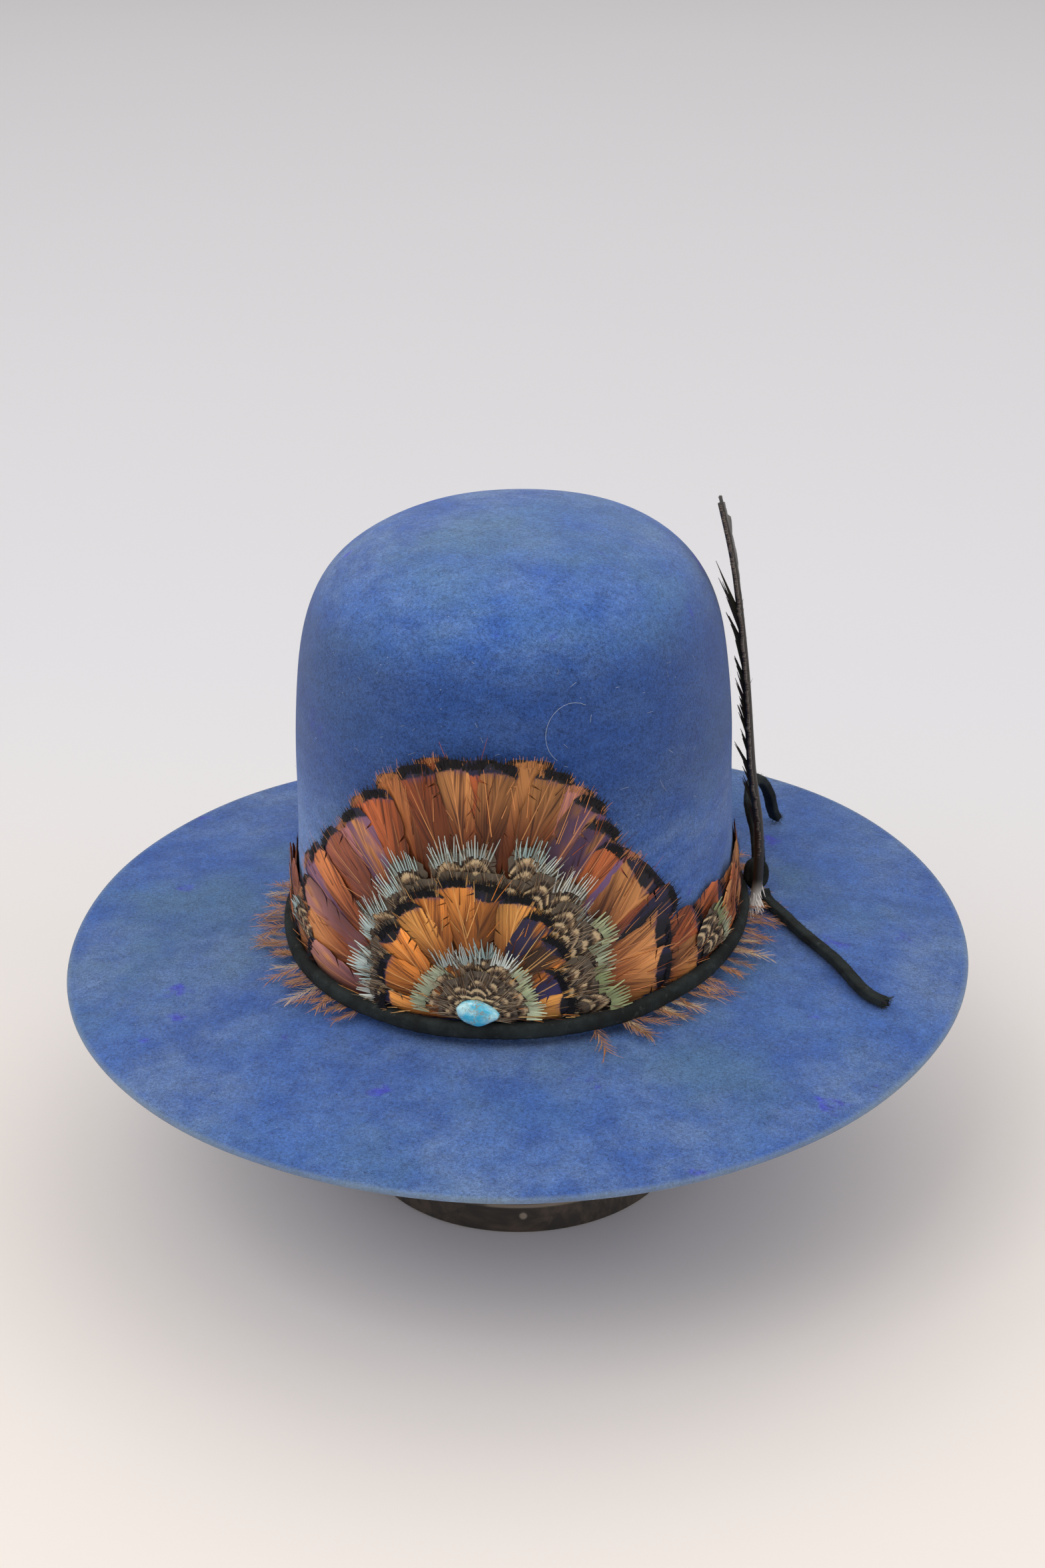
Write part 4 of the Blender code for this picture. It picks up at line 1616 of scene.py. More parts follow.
@dataclass(frozen=True)
class FeatherTrim:
    """The feather fan over the hat's front and the band of feathers round the crown.

    Attributes:
        crown: the crown that carries them.
        centre: the fan's middle on the unrolled crown.
        rust: the outer ring.
        gold: the golden ring.
        game: the scalloped feathers' finish.
        game_rings: the scalloped feathers' rings.
        game_places: the scalloped feathers beside the fan: along, height and angle.
        upright: the narrow feathers that stand up at the sides: tip's way along and height
            in millimetres, and angle.
        band_rows: the band's two rows: height and lean in degrees.
        band_start: where the band starts, along from the front.
        band_step: the way from one of its feathers to the next.
    """

    crown: CrownForm
    centre: Row = (0.003, 0.0085)
    rust: LongRing = LongRing(
        finish=VaneFinish(
            "rust_vane",
            body=(0.40, 0.092, 0.026),
            warm=(0.59, 0.250, 0.078),
            root=(0.34, 0.080, 0.022),
            dark=(0.060, 0.015, 0.008),
            light=(0.80, 0.33, 0.12),
            tip=(0.012, 0.010, 0.012),
            marking=Marking.TIPPED,
            sheen=(0.26, 0.112, 0.128),
        ),
        form=VaneForm(),
        seed=11,
        length=0.050,
        off=0.0032,
        tall=1.045,
        rows=(
            (-81, 9, 9, 0.30, 0.75),
            (-83, 20, 9, 0.10, 0.00),
            (-85, 33, 9, 0.30, 0.80),
            (-84, 45, 8, 0.00, 1.50),
            (-75, 53, 9, 0.45, 0.00),
            (-65, 62, 10, 0.50, 0.55),
            (-57, 70, 8, 0.00, 0.85),
            (-50, 77, 9, 0.55, 1.45),
            (-44, 84, 8, 0.00, 0.45),
            (-38, 90, 9, 0.50, 0.10),
            (-30, 94, 8, 0.00, 0.20),
            (-21, 100, 10, 0.75, 0.10),
            (-13, 102, 8, 0.00, 0.30),
            (-6, 105, 8, 0.60, 0.10),
            (5, 106, 10, 0.85, 0.00),
            (14, 105, 8, 0.60, 0.10),
            (23, 102, 9, 0.00, 0.00),
            (33, 98, 10, 0.65, 0.00),
            (41, 92, 8, 0.00, 0.75),
            (47, 86, 9, 0.80, 1.60),
            (53, 77, 9, 0.65, 1.80),
            (57, 69, 8, 0.20, 0.30),
            (62, 63, 7, 0.00, 1.80),
            (73, 51, 18, 1.10, 0.00),
            (83, 41, 11, 5.00, 0.45),
            (82, 27, 14, 1.20, 0.00),
            (81, 12, 14, 1.20, 0.00),
        ),
    )
    gold: LongRing = LongRing(
        finish=VaneFinish(
            "golden_vane",
            body=(0.74, 0.235, 0.038),
            warm=(0.92, 0.400, 0.090),
            root=(0.56, 0.170, 0.030),
            dark=(0.150, 0.040, 0.010),
            light=(0.95, 0.50, 0.16),
            tip=(0.010, 0.009, 0.010),
            marking=Marking.TIPPED,
            sheen=(0.030, 0.022, 0.016),
        ),
        form=VaneForm(splits=3),
        seed=12,
        length=0.037,
        off=0.0062,
        tall=1.12,
        rows=(
            (-35, 8, 7, 0.90, 0.20),
            (-35, 21, 8, 0.60, 0.20),
            (-31, 35, 9, 1.20, 0.10),
            (-24, 46, 8, 0.60, 0.10),
            (-16, 53, 8, 0.60, 0.30),
            (-5, 57, 8, 0.55, 0.00),
            (8, 57, 11, 1.30, 0.00),
            (19, 53, 8, 0.60, 0.55),
            (26, 44, 8, 0.40, 1.50),
            (33, 34, 8, 0.90, 0.90),
            (34, 21, 8, 0.50, 1.70),
            (38, 10, 8, 1.10, 0.30),
        ),
    )
    game: VaneFinish = VaneFinish(
        "game_vane",
        body=(0.200, 0.120, 0.065),
        warm=(0.330, 0.210, 0.115),
        root=(0.160, 0.105, 0.062),
        dark=(0.070, 0.045, 0.030),
        light=(0.420, 0.310, 0.200),
        tip=(0.110, 0.085, 0.060),
        marking=Marking.SCALLOPED,
        sheen=(0.060, 0.100, 0.035),
    )
    game_rings: tuple[ShortRing, ...] = (
        ShortRing(0.0485, 0.0668, 17, -4.0, 184.0, 0.023, 0.0070, 0.0050, comb=0.0080, jitter=1.6),
        ShortRing(0.0435, 0.0615, 16, 0.0, 180.0, 0.020, 0.0060, 0.0057, jitter=1.8),
        ShortRing(0.021, 0.0260, 10, 10.0, 170.0, 0.018, 0.0052, 0.0072, comb=0.0075),
        ShortRing(0.014, 0.0185, 7, 8.0, 172.0, 0.014, 0.0046, 0.0078),
    )
    game_places: tuple[Row, ...] = ((0.112, 0.022, 25.0), (0.118, 0.012, 10.0), (-0.094, 0.022, 160.0))
    upright: tuple[Row, ...] = (
        (-116, 22, 122),
        (-123, 29, 112),
        (-129, 35, 104),
        (-136, 31, 96),
        (-142, 24, 90),
        (120, 25, 50),
        (125, 33, 60),
        (130, 38, 68),
        (135, 34, 76),
        (140, 26, 84),
    )
    band_rows: tuple[Row, ...] = ((0.022, 10.0), (0.009, 2.0))
    band_start: float = 0.088
    band_step: float = 0.019

    def build(self) -> None:
        """Builds the fan, the band and all their loose barbs."""
        rust, gold, game = (finish.paint() for finish in (self.rust.finish, self.gold.finish, self.game))
        barbs = TrimBarbs(self.crown, 41)
        self.long_ring(self.rust, barbs).build("rust_feathers", rust, "feather_fan")
        self.long_ring(self.gold, barbs).build("golden_feathers", gold)
        self.game_feathers(barbs).build("game_feathers", game)
        self.band(barbs).build("band_feathers", rust, "feather_band")
        barbs.fringe()
        barbs.build("loose_barbs", BarbFinish().paint(), 0.25, Slot.FEATHERS, True)

    def painted_lighting(self, along: float) -> float:
        """How much painted light is added to the tone of the feathers towards the fan's sides, most
        towards -X.
        """
        side = (along - self.centre[0]) / 0.080
        return 0.95 * -side if side < 0 else 0.60 * side

    def long_ring(self, ring: LongRing, barbs: TrimBarbs) -> Plumage:
        """Lays out a ring's feathers, and others behind them where two meet.

        Args:
            ring: the ring.
            barbs: takes the loose barbs.

        Returns:
            The feathers.
        """
        plumage = Plumage(self.crown, ring.form, ring.seed)
        vary = plumage.vary
        between = [tuple(np.mean(pair, axis=0)) for pair in zip(ring.rows, ring.rows[1:])]
        layers = ((between, ring.off - 0.0012, 0.965, 0.0), (ring.rows, ring.off, 1.0, 1.0))
        for rows, stand, share, marked in layers:
            for along, height, wide, mark, hue in rows:
                reach = share * (1 + vary(0.022))
                out = (along / 1000 - self.centre[0]) * reach
                up = (height / 1000 - self.centre[1]) * reach * ring.tall
                a = self.centre[0] + out
                h = self.centre[1] + up
                angle = math.degrees(math.atan2(h - self.centre[1], a - self.centre[0]))
                over = mark * marked > DARK_MARK
                # The layer behind gets a darker tone: partly painted shade between the front feathers,
                # partly the darker feathers that show between them.
                tone = barbs.rng.uniform(-0.15, 0.65) * (0.4 + 0.6 * marked)
                feather = Feather(
                    along=a,
                    height=h,
                    angle=angle + vary(6.0),
                    length=ring.length * (1 + vary(0.06)),
                    half_width=wide * (0.82 if over else 1.15) * (1 + vary(0.16)) / 1000,
                    off=stand + vary(0.0002) + (0.0009 if over else 0.0),
                    lift=1.2 + vary(0.5),
                    roll=vary(2.0) + (4.0 if along > 4 else -4.0),
                    mark=mark * marked,
                    hue=hue,
                    # Painted light towards the fan's sides, and a lighter tone for the widest feathers.
                    tone=tone + self.painted_lighting(a) + 0.25 * (wide > 12),
                )
                plumage.feathers.append(feather)
                barbs.tips(feather, ring.finish)
                barbs.edges(feather, ring.finish, 5)
                if marked:
                    barbs.threads(feather, ring.finish)
        return plumage

    def game_feathers(self, barbs: TrimBarbs) -> Plumage:
        """Lays out the scalloped feathers with grey barb tips.

        Args:
            barbs: takes the loose barbs.

        Returns:
            The feathers.
        """
        plumage = Plumage(self.crown, VaneForm(tip_width=0.6, widest=0.7, splits=2), 13)
        for ring in self.game_rings:
            for feather in ring.feathers(self.centre, plumage.vary):
                plumage.feathers.append(feather)
                if ring.comb:
                    barbs.comb(feather, ring.comb)
                barbs.edges(feather, self.game, 24)
        for place in self.game_places:
            feather = Feather(*place, length=0.020, half_width=0.0062, off=0.0042)
            plumage.feathers.append(feather)
            barbs.comb(feather, 0.006)
            barbs.edges(feather, self.game, 36)
        return plumage

    def band(self, barbs: TrimBarbs) -> Plumage:
        """Lays out the shingled feathers round the sides and the back.

        Args:
            barbs: takes the loose barbs.

        Returns:
            The feathers.
        """
        plumage = Plumage(self.crown, VaneForm(widest=0.62, tip_width=0.40), 14)
        vary = plumage.vary
        colours = self.rust.finish
        for side in (1.0, -1.0):
            place = self.band_start
            while place < self.crown.half_round() + 0.012:
                for height, lean in self.band_rows:
                    angle = (lean + vary(6.0)) if side > 0 else (180.0 - lean + vary(6.0))
                    feather = Feather(
                        along=side * (place + 0.014 + vary(0.003)),
                        height=height + vary(0.002),
                        angle=angle,
                        length=0.040,
                        half_width=0.0105 + vary(0.001),
                        off=0.0022 + vary(0.0004) + 0.0006 * (height < 0.015),
                        mark=max(0.0, 0.7 + vary(0.7)),
                        hue=max(0.0, vary(0.6)),
                        tone=0.55 + vary(0.35),
                    )
                    plumage.feathers.append(feather)
                    barbs.tips(feather, colours)
                    barbs.edges(feather, colours, 10)
                place += self.band_step
        for along, height, angle in self.upright:
            place = (along / 1000, height / 1000 - 0.004)
            feather = Feather(*place, angle, 0.030, 0.0036, 0.0034, lift=3.0, mark=0.0, tone=0.9)
            plumage.feathers.append(feather)
            barbs.edges(feather, colours, 26)
        return plumage


# The felt


@dataclass(frozen=True)
class FeltHat:
    """Crown and brim, blocked from one piece of felt.

    Attributes:
        crown: the outer shape.
        thickness: the felt's thickness.
        around: how many points go round it.
        crown_rows: how many rows the crown has.
        bend_rows: how many rows the bend between crown and brim has.
        brim_rows: how many rows the brim has.
        unevenness: how far the felt strays from its form.
    """

    crown: CrownForm
    thickness: float = 0.0022
    around: int = 208
    crown_rows: int = 74
    bend_rows: int = 6
    brim_rows: int = 40
    unevenness: float = 0.00025

    def rows(self, turn: np.ndarray) -> Iterable[tuple[float, float, Any, float]]:
        """The rows from the crown's top to the brim's edge.

        Args:
            turn: the turns of a row's points from the front.

        Yields:
            A row's half width, half depth, height above the lace's middle, and wear.
        """
        form = self.crown
        fine = np.linspace(1.0, 0.0, 2000)
        out = form.scale(fine) * (form.half_width + form.half_depth) / 2
        steps = np.hypot(np.diff(out), np.diff(fine * form.height))
        along = np.concatenate([[0.0], np.cumsum(steps)])
        spots = np.linspace(0.0, along[-1], self.crown_rows + 1)[1:]
        for rise in np.interp(spots, along, fine):
            scale = form.scale(rise)
            yield form.half_width * scale, form.half_depth * scale, rise * form.height, 0.0
        for bend in np.linspace(0.0, 1.0, self.bend_rows) * math.pi / 2:
            out = form.fillet * (1 - math.cos(bend))
            drop = form.fillet * (1 - math.sin(bend)) - form.root
            yield form.half_width + out, form.half_depth + out, drop, 0.0
        foot_wide, foot_deep = form.half_width + form.fillet, form.half_depth + form.fillet
        for share in np.linspace(0.0, 1.0, self.brim_rows + 1)[1:]:
            wide = foot_wide + (form.brim_half_width - foot_wide) * share
            deep = foot_deep + (form.brim_half_depth - foot_deep) * share
            yield wide, deep, form.brim_height(share, turn), max(0.0, (share - 0.985) / 0.015)

    def build(self) -> None:
        """Builds the felt."""
        turn = np.linspace(0.0, 2 * math.pi, self.around, endpoint=False)
        rings, rims = [], []
        for wide, deep, height, wear in self.rows(turn):
            parts = (wide * np.sin(turn), -deep * np.cos(turn), self.crown.level + height)
            rings.append(np.stack(np.broadcast_arrays(*parts), axis=1))
            rims += [(wear, wear, wear)] * self.around
        points = np.vstack([*rings, [[0.0, 0.0, self.crown.level + self.crown.height]]])
        pole = len(points) - 1
        faces = strip_faces(len(rings), self.around, True)
        faces += [[pole, j, (j + 1) % self.around] for j in range(self.around)]
        item = mesh_object("felt_crown_and_brim", points, faces, FeltFinish().paint())
        self.roughen(item)
        store(item, "rim", [*rims, (0.0, 0.0, 0.0)])
        wall = item.modifiers.new("wall", "SOLIDIFY")
        wall.thickness = self.thickness
        wall.offset = -1.0
        soft = item.modifiers.new("soft_edge", "BEVEL")
        soft.width = 0.0006
        soft.segments = 2
        soft.angle_limit = math.radians(50.0)
        keep(item, Slot.FELT, "felt_body")

    def roughen(self, item: Item) -> None:
        """Moves the points a little off the form, in slow waves.

        Args:
            item: the felt.
        """
        points = read(item)
        rng = np.random.default_rng(7)
        move = np.zeros(len(points))
        for _ in range(14):
            wave = rng.normal(0.0, 60.0, 3)
            move += np.sin(points @ wave + rng.uniform(0.0, 6.28))
        write(item, points + read(item, "normal") * (move * self.unevenness / 4)[:, None])


@dataclass(frozen=True)
class FeltLint:
    """The few pale hairs that lie on the felt.

    Attributes:
        crown: the crown that carries them.
        count: how many short hairs there are.
        colour: their colour.
        curl: the long curled hair's middle along and up, and its radius.
        curl_turns: the angles that it goes through, in degrees.
    """

    crown: CrownForm
    count: int = 260
    colour: Colour = (0.50, 0.56, 0.62)
    curl: Row = (0.040, 0.112, 0.011)
    curl_turns: Row = (60.0, 230.0)

    def build(self) -> None:
        """Builds the hairs."""
        bed = BarbBed(self.crown, 23, 4)
        draw = bed.rng.uniform
        half = self.crown.half_round()
        for _ in range(self.count):
            root = (draw(-half, half), draw(0.035, 0.140), 0.0001)
            way = heading(math.degrees(draw(0.0, 6.28)), 0.10)
            tint = tinted(self.colour, draw(0.5, 1.1))
            bed.add(root, way, draw(0.0010, 0.0035), 0.00009, draw(0.0, 0.0006), tint)
        along, height, size = self.curl
        turns = np.radians(np.linspace(*self.curl_turns, 15))
        line = [(along + size * math.cos(t), height + size * math.sin(t), 0.0003) for t in turns]
        for root, end in zip(line, line[1:]):
            way = np.array(end) - np.array(root)
            bed.add(root, way, float(np.linalg.norm(way)) * 1.1, 0.00010, 0.0, self.colour)
        bed.build("felt_hairs", BarbFinish("pale_hairs").paint(), 0.8, Slot.FELT, True)


# The lace


@dataclass(frozen=True)
class SuedeLace:
    """The lace round the crown, its knot and its two free ends.

    Attributes:
        crown: the crown that carries it.
        half_height: half the loop's height.
        half_thickness: half the loop's thickness.
        inner: how far its back stands off the felt.
        bulge: how much further it stands off over the fan's foot.
        spread: how far along that reaches.
        rise: how far the loop lies above its solid.
        knot_spot: the knot's place on the unrolled crown.
        knot_section: the section of the lace in the knot.
        knot_turns: the knot's turns: tilt and swing in degrees, shift outwards and radius.
        tail_radius: half a free end's width.
        clearance: how far above the brim a free end lies.
        front_route: the front end's route: X, Y and height, or none where it lies on the brim.
        back_route: the back end's route.
        front_length: the front end's real length.
        back_length: the back end's real length.
        fibres: how many fibres stand on the loop, the knot, and the front and back end.
        fibre_colour: their colour.
    """

    crown: CrownForm
    half_height: float = 0.00325
    half_thickness: float = 0.0024
    inner: float = 0.0016
    bulge: float = 0.0018
    spread: float = 0.085
    rise: float = 0.0012
    knot_spot: Row = (0.1724, 0.0052, 0.0108)
    knot_section: LaceSection = LaceSection(0.0026, 0.0021, 14, 0.85)
    knot_turns: tuple[Row, ...] = (
        (20.0, 25.0, 0.0, 0.0034),
        (-55.0, 80.0, -0.0004, 0.0034),
        (8.0, 60.0, 0.0006, 0.0030),
    )
    tail_radius: float = 0.0025
    clearance: float = 0.0003
    front_route: tuple[tuple[float, float, float | None], ...] = (
        (0.0971, 0.0255, -0.0004),
        (0.0990, 0.0225, -0.0034),
        (0.1063, 0.0126, None),
        (0.1140, 0.0006, None),
        (0.1290, -0.0193, None),
        (0.1409, -0.0394, None),
        (0.1491, -0.0457, None),
    )
    back_route: tuple[tuple[float, float, float | None], ...] = (
        (0.0943, 0.0360, 0.0063),
        (0.0925, 0.0460, 0.0150),
        (0.0888, 0.0570, 0.0230),
        (0.0885, 0.0700, 0.0265),
        (0.0905, 0.0840, 0.0225),
        (0.0936, 0.0962, 0.0110),
        (0.0951, 0.1040, -0.0008),
        (0.0963, 0.1088, None),
    )
    front_length: float = 0.0970
    back_length: float = 0.0990
    fibres: tuple[int, ...] = (2600, 1100, 800, 800)
    fibre_colour: Colour = (0.022, 0.027, 0.025)

    def build(self) -> None:
        """Builds every piece of the lace."""
        suede = SuedeFinish().paint()
        tails = [
            self.tail("lace_end_front", self.front_route, "cord_tail_front", self.front_length, suede),
            self.tail("lace_end_back", self.back_route, "cord_tail_back", self.back_length, suede),
        ]
        self.fuzz([self.loop(suede), self.knot(suede), *tails])

    def loop(self, suede: Material) -> Item:
        """Builds the loop round the crown.

        Args:
            suede: its material.

        Returns:
            The piece.
        """
        half = self.crown.half_round()
        along = np.linspace(-half, half, 420, endpoint=False)
        swell = self.bulge * np.exp(-((np.abs(along) / self.spread) ** 4))
        sway = self.rise + 0.00018 * np.sin(along * 95.0) + 0.00012 * np.sin(along * 171.0 + 1.0)
        flat = np.stack([along, sway, self.inner + self.half_thickness + swell], axis=1)
        line = self.crown.wrap(flat)
        up = (self.crown.wrap(flat + np.array((0.0, 0.0, 0.001))) - line) / 0.001
        section = LaceSection(self.half_height, self.half_thickness)
        item = section.along(line, up, True, "lace_loop")
        item.data.materials.append(suede)
        return keep(item, Slot.LACE, "hat_cord")

    def knot(self, suede: Material) -> Item:
        """Builds the knot from turns of the lace.

        Args:
            suede: its material.

        Returns:
            The piece.
        """
        spot = np.array([self.knot_spot])
        middle = Vector(self.crown.wrap(spot)[0])
        out = Vector(self.crown.wrap(spot + np.array([[0.0, 0.0, 0.001]]))[0]) - middle
        out.normalize()
        up = Vector((0.0, 0.0, 1.0))
        side = up.cross(out)
        items = []
        for tilt, swing, shift, radius in self.knot_turns:
            c, s, _ = heading(tilt, 0.0)
            first = up * c + side * s
            c, s, _ = heading(swing, 0.0)
            second = out * c + first.cross(out) * s
            centre = middle + out * shift
            angles = np.linspace(0.0, 2 * math.pi, 34, endpoint=False)
            line = np.array(
                [centre + (first * math.cos(a) * 1.35 + second * math.sin(a)) * radius for a in angles]
            )
            items.append(self.knot_section.along(line, unit(line - np.array(centre)), True, "lace_turn"))
        item = join("lace_knot", items)
        item.data.materials.append(suede)
        return keep(item, Slot.LACE, "cord_knot")

    def tail(
        self,
        name: str,
        route: Sequence[tuple[float, float, float | None]],
        node: str,
        length: float,
        suede: Material,
    ) -> Item:
        """Args:
            name: the piece's name.
            route: its route.
            node: the solid that it stands for.
            length: its real length.
            suede: its material.

        Returns:
            The piece.
        """
        points = []
        for x, y, height in route:
            lying = float(self.crown.brim_top(np.array(x), np.array(y)))
            lying += self.clearance + self.tail_radius
            points.append((x, y, lying if height is None else self.crown.level + height))
        line = curve_through(points, 60)
        section = LaceSection(self.tail_radius * 1.04, self.tail_radius * 0.72, 16, 0.5)
        item = section.along(line, np.array((0.25, 0.0, 1.0)), False, name)
        item.data.set_sharp_from_angle(angle=math.radians(28.0))
        item.data.materials.append(suede)
        keep(item, Slot.LACE, node)
        return item

    def fuzz(self, laces: Sequence[Item]) -> None:
        """Covers the lace with short loose fibres.

        Args:
            laces: the pieces that carry them: the loop, the knot and the two ends.
        """
        bed = BarbBed(self.crown, 31, 2)
        draw = bed.rng.uniform
        for item, count in zip(laces, self.fibres):
            spots, normals = read(item), read(item, "normal")
            longest = 0.0022 if item.name == "lace_knot" else 0.0011
            for i in bed.rng.choice(len(spots), count):
                way = normals[i] + bed.rng.normal(0.0, 0.9, 3)
                tint = tinted(self.fibre_colour, draw(0.5, 1.6))
                length = draw(0.0004, longest)
                face = bed.rng.normal(0.0, 1.0, 3)
                bed.add(spots[i], way, length, 0.00009, 0.0002, tint, face)
        for item in laces[2:]:
            end, before = read(item)[-16:], read(item)[-48:-32]
            for spot, way in zip(np.repeat(end, 5, axis=0), np.repeat(end - before, 5, axis=0)):
                way = way / np.linalg.norm(way) + bed.rng.normal(0.0, 0.45, 3)
                tint = bed.speckle(self.fibre_colour, 0.8, 2.4)
                bed.add(spot, way, draw(0.0008, 0.0024), 0.00025, 0.0004, tint, (0.3, -0.5, 1.0))
        bed.build("lace_fuzz", BarbFinish("suede_fuzz").paint(), 0.4, Slot.LACE, False)


# The stone


@dataclass(frozen=True)
class TurquoiseNugget:
    """The polished nugget in the middle of the fan.

    Attributes:
        crown: the crown that carries it.
        place: its way along the crown's foot.
        height: its height.
        off: how far its middle stands off the felt.
        half_length: half its length.
        half_height: half its height.
        half_thickness: half its thickness.
        point: how much it narrows towards the wearer's left.
        slope: how far it drops towards there.
    """

    crown: CrownForm
    place: float = 0.0034
    height: float = 0.0100
    off: float = 0.0086
    half_length: float = 0.0071
    half_height: float = 0.00515
    half_thickness: float = 0.0030
    point: float = 0.40
    slope: float = -0.0006

    def build(self) -> None:
        """Builds the nugget."""
        bm = bmesh.new()
        bmesh.ops.create_icosphere(bm, subdivisions=5, radius=1.0)
        x, y, z = np.array([v.co for v in bm.verts]).T
        narrow = 1 - self.point * (x + 1) / 2 * np.abs(x)
        lump = 1 + 0.04 * np.sin(3 * x + 2 * y) * np.cos(4 * z + x)
        lump *= 1 + 0.015 * np.sin(7 * x + 1.0) * np.sin(6 * z) + 0.01 * np.sin(11 * z + 5 * y)
        along = self.place + x * self.half_length * lump
        height = self.height + (z * self.half_height * narrow + self.slope * x) * lump
        off = self.off - y * self.half_thickness * lump
        for vert, place in zip(bm.verts, self.crown.wrap(np.stack([along, height, off], axis=1))):
            vert.co = place
        item = from_bmesh(bm, "turquoise_stone")
        face_out(item)
        item.data.materials.append(TurquoiseFinish().paint())
        keep(item, Slot.STONE, "turquoise_nugget")


# The standing feather


@dataclass(frozen=True)
class StandingFeather:
    """The dark feather that stands up behind the knot, with its white frayed foot.

    Attributes:
        crown: the crown that it stands beside.
        route: its quill's route: X, Y and height above the lace's middle.
        foot_radius: the quill's radius at its foot.
        tip_radius: the quill's radius at its tip.
        sides: how many points go round the quill.
        front: the vane's width towards the hat's front.
        back: the vane's width towards the hat's back.
        start: where the vane starts, as a share of the quill.
        end: where it ends.
        rows: how many rows of barbs it has.
        columns: where its points lie, from the quill out.
        tufts: the larger tufts of barbs towards the crown: the share of the quill where
            they start, their rise and their reach.
    """

    crown: CrownForm
    route: tuple[Row, ...] = (
        (0.0938, 0.0150, -0.0034),
        (0.0949, 0.0170, 0.0030),
        (0.0955, 0.0184, 0.0116),
        (0.0949, 0.0190, 0.0325),
        (0.0917, 0.0184, 0.0560),
        (0.0887, 0.0179, 0.0941),
        (0.0855, 0.0173, 0.1237),
        (0.0822, 0.0168, 0.1453),
        (0.0765, 0.0157, 0.1702),
    )
    foot_radius: float = 0.0021
    tip_radius: float = 0.0011
    sides: int = 12
    front: float = 0.0055
    back: float = 0.0200
    start: float = 0.12
    end: float = 0.975
    rows: int = 120
    columns: Row = (0.0, 0.3, 0.6, 0.85, 1.0)
    tufts: tuple[Row, ...] = (
        (0.705, 0.023, 0.0115),
        (0.68, 0.019, 0.0088),
        (0.64, 0.015, 0.0085),
        (0.61, 0.016, 0.0062),
        (0.58, 0.017, 0.0058),
        (0.55, 0.013, 0.0060),
        (0.52, 0.015, 0.0052),
        (0.49, 0.013, 0.0062),
        (0.46, 0.012, 0.0050),
        (0.42, 0.014, 0.0064),
        (0.38, 0.012, 0.0052),
        (0.34, 0.013, 0.0076),
        (0.30, 0.012, 0.0056),
        (0.25, 0.015, 0.0076),
        (0.20, 0.013, 0.0060),
    )

    def line(self, count: int) -> np.ndarray:
        """Points along the quill."""
        return curve_through([(x, y, self.crown.level + z) for x, y, z in self.route], count)

    def build(self) -> None:
        """Builds the quill, the vane and the frayed foot."""
        self.quill()
        self.vane()
        self.fray()

    def quill(self) -> None:
        """Builds the quill, which ends a little before its route does."""
        line = self.line(92)[:90]
        way = directions(line)
        side = unit(np.cross(way, np.array((0.0, 1.0, 0.0))))
        face = np.cross(side, way)
        radius = np.linspace(self.foot_radius, self.tip_radius, len(line))
        turn = np.linspace(0.0, 2 * math.pi, self.sides, endpoint=False)[:, None]
        rings = [
            point + reach * (np.cos(turn) * across + np.sin(turn) * up)
            for point, reach, across, up in zip(line, radius, side, face)
        ]
        faces = strip_faces(len(rings), self.sides, True) + end_caps(len(rings), self.sides)
        item = mesh_object("feather_quill", np.vstack(rings), faces, HornFinish().paint())
        face_out(item)
        keep(item, Slot.DARK_FEATHER, "side_feather")

    def vane(self) -> None:
        """Builds the vane from two ragged sheets of barbs, as one closed shape."""
        rng = np.random.default_rng(3)
        line = self.line(1000)
        shares = np.linspace(0.0, 1.0, self.rows)
        spots = self.start + (self.end - self.start) * shares
        wide = np.minimum(1.0, 0.35 + 1.6 * shares) * (1 - 0.55 * shares**3) * (1 - 0.5 * shares**20)
        points, places, faces = [], [], []
        for reach in (-self.front, self.back):
            base = len(points)
            ragged = 1 + 0.10 * (rng.random(self.rows) - 0.6) + 0.03 * np.sin(shares * 50.0)
            ragged[rng.integers(8, self.rows - 8, 7)] -= 0.28
            sway = rng.normal(0.0, 0.00035, self.rows)
            for i, spot in enumerate(spots):
                centre = line[int(spot * (len(line) - 1))]
                for q in self.columns:
                    across = reach * q * wide[i] * (1 + (ragged[i] - 1) * q)
                    curl = 0.0035 * (max(reach * q, 0.0) / self.back) ** 2 * wide[i]
                    points.append(centre + np.array((sway[i] * q - curl, across, 0.5 * abs(across))))
                    places.append((q * math.copysign(1.0, reach), shares[i], 0.0))
            grid = strip_faces(self.rows, len(self.columns), False)
            faces += [[base + k for k in face] for face in grid]
        item = mesh_object("feather_vane", points, faces, QuillFinish().paint())
        store(item, "place", places)
        wall = item.modifiers.new("wall", "SOLIDIFY")
        wall.thickness = 0.0010
        wall.offset = 0.0
        keep(item, Slot.DARK_FEATHER)

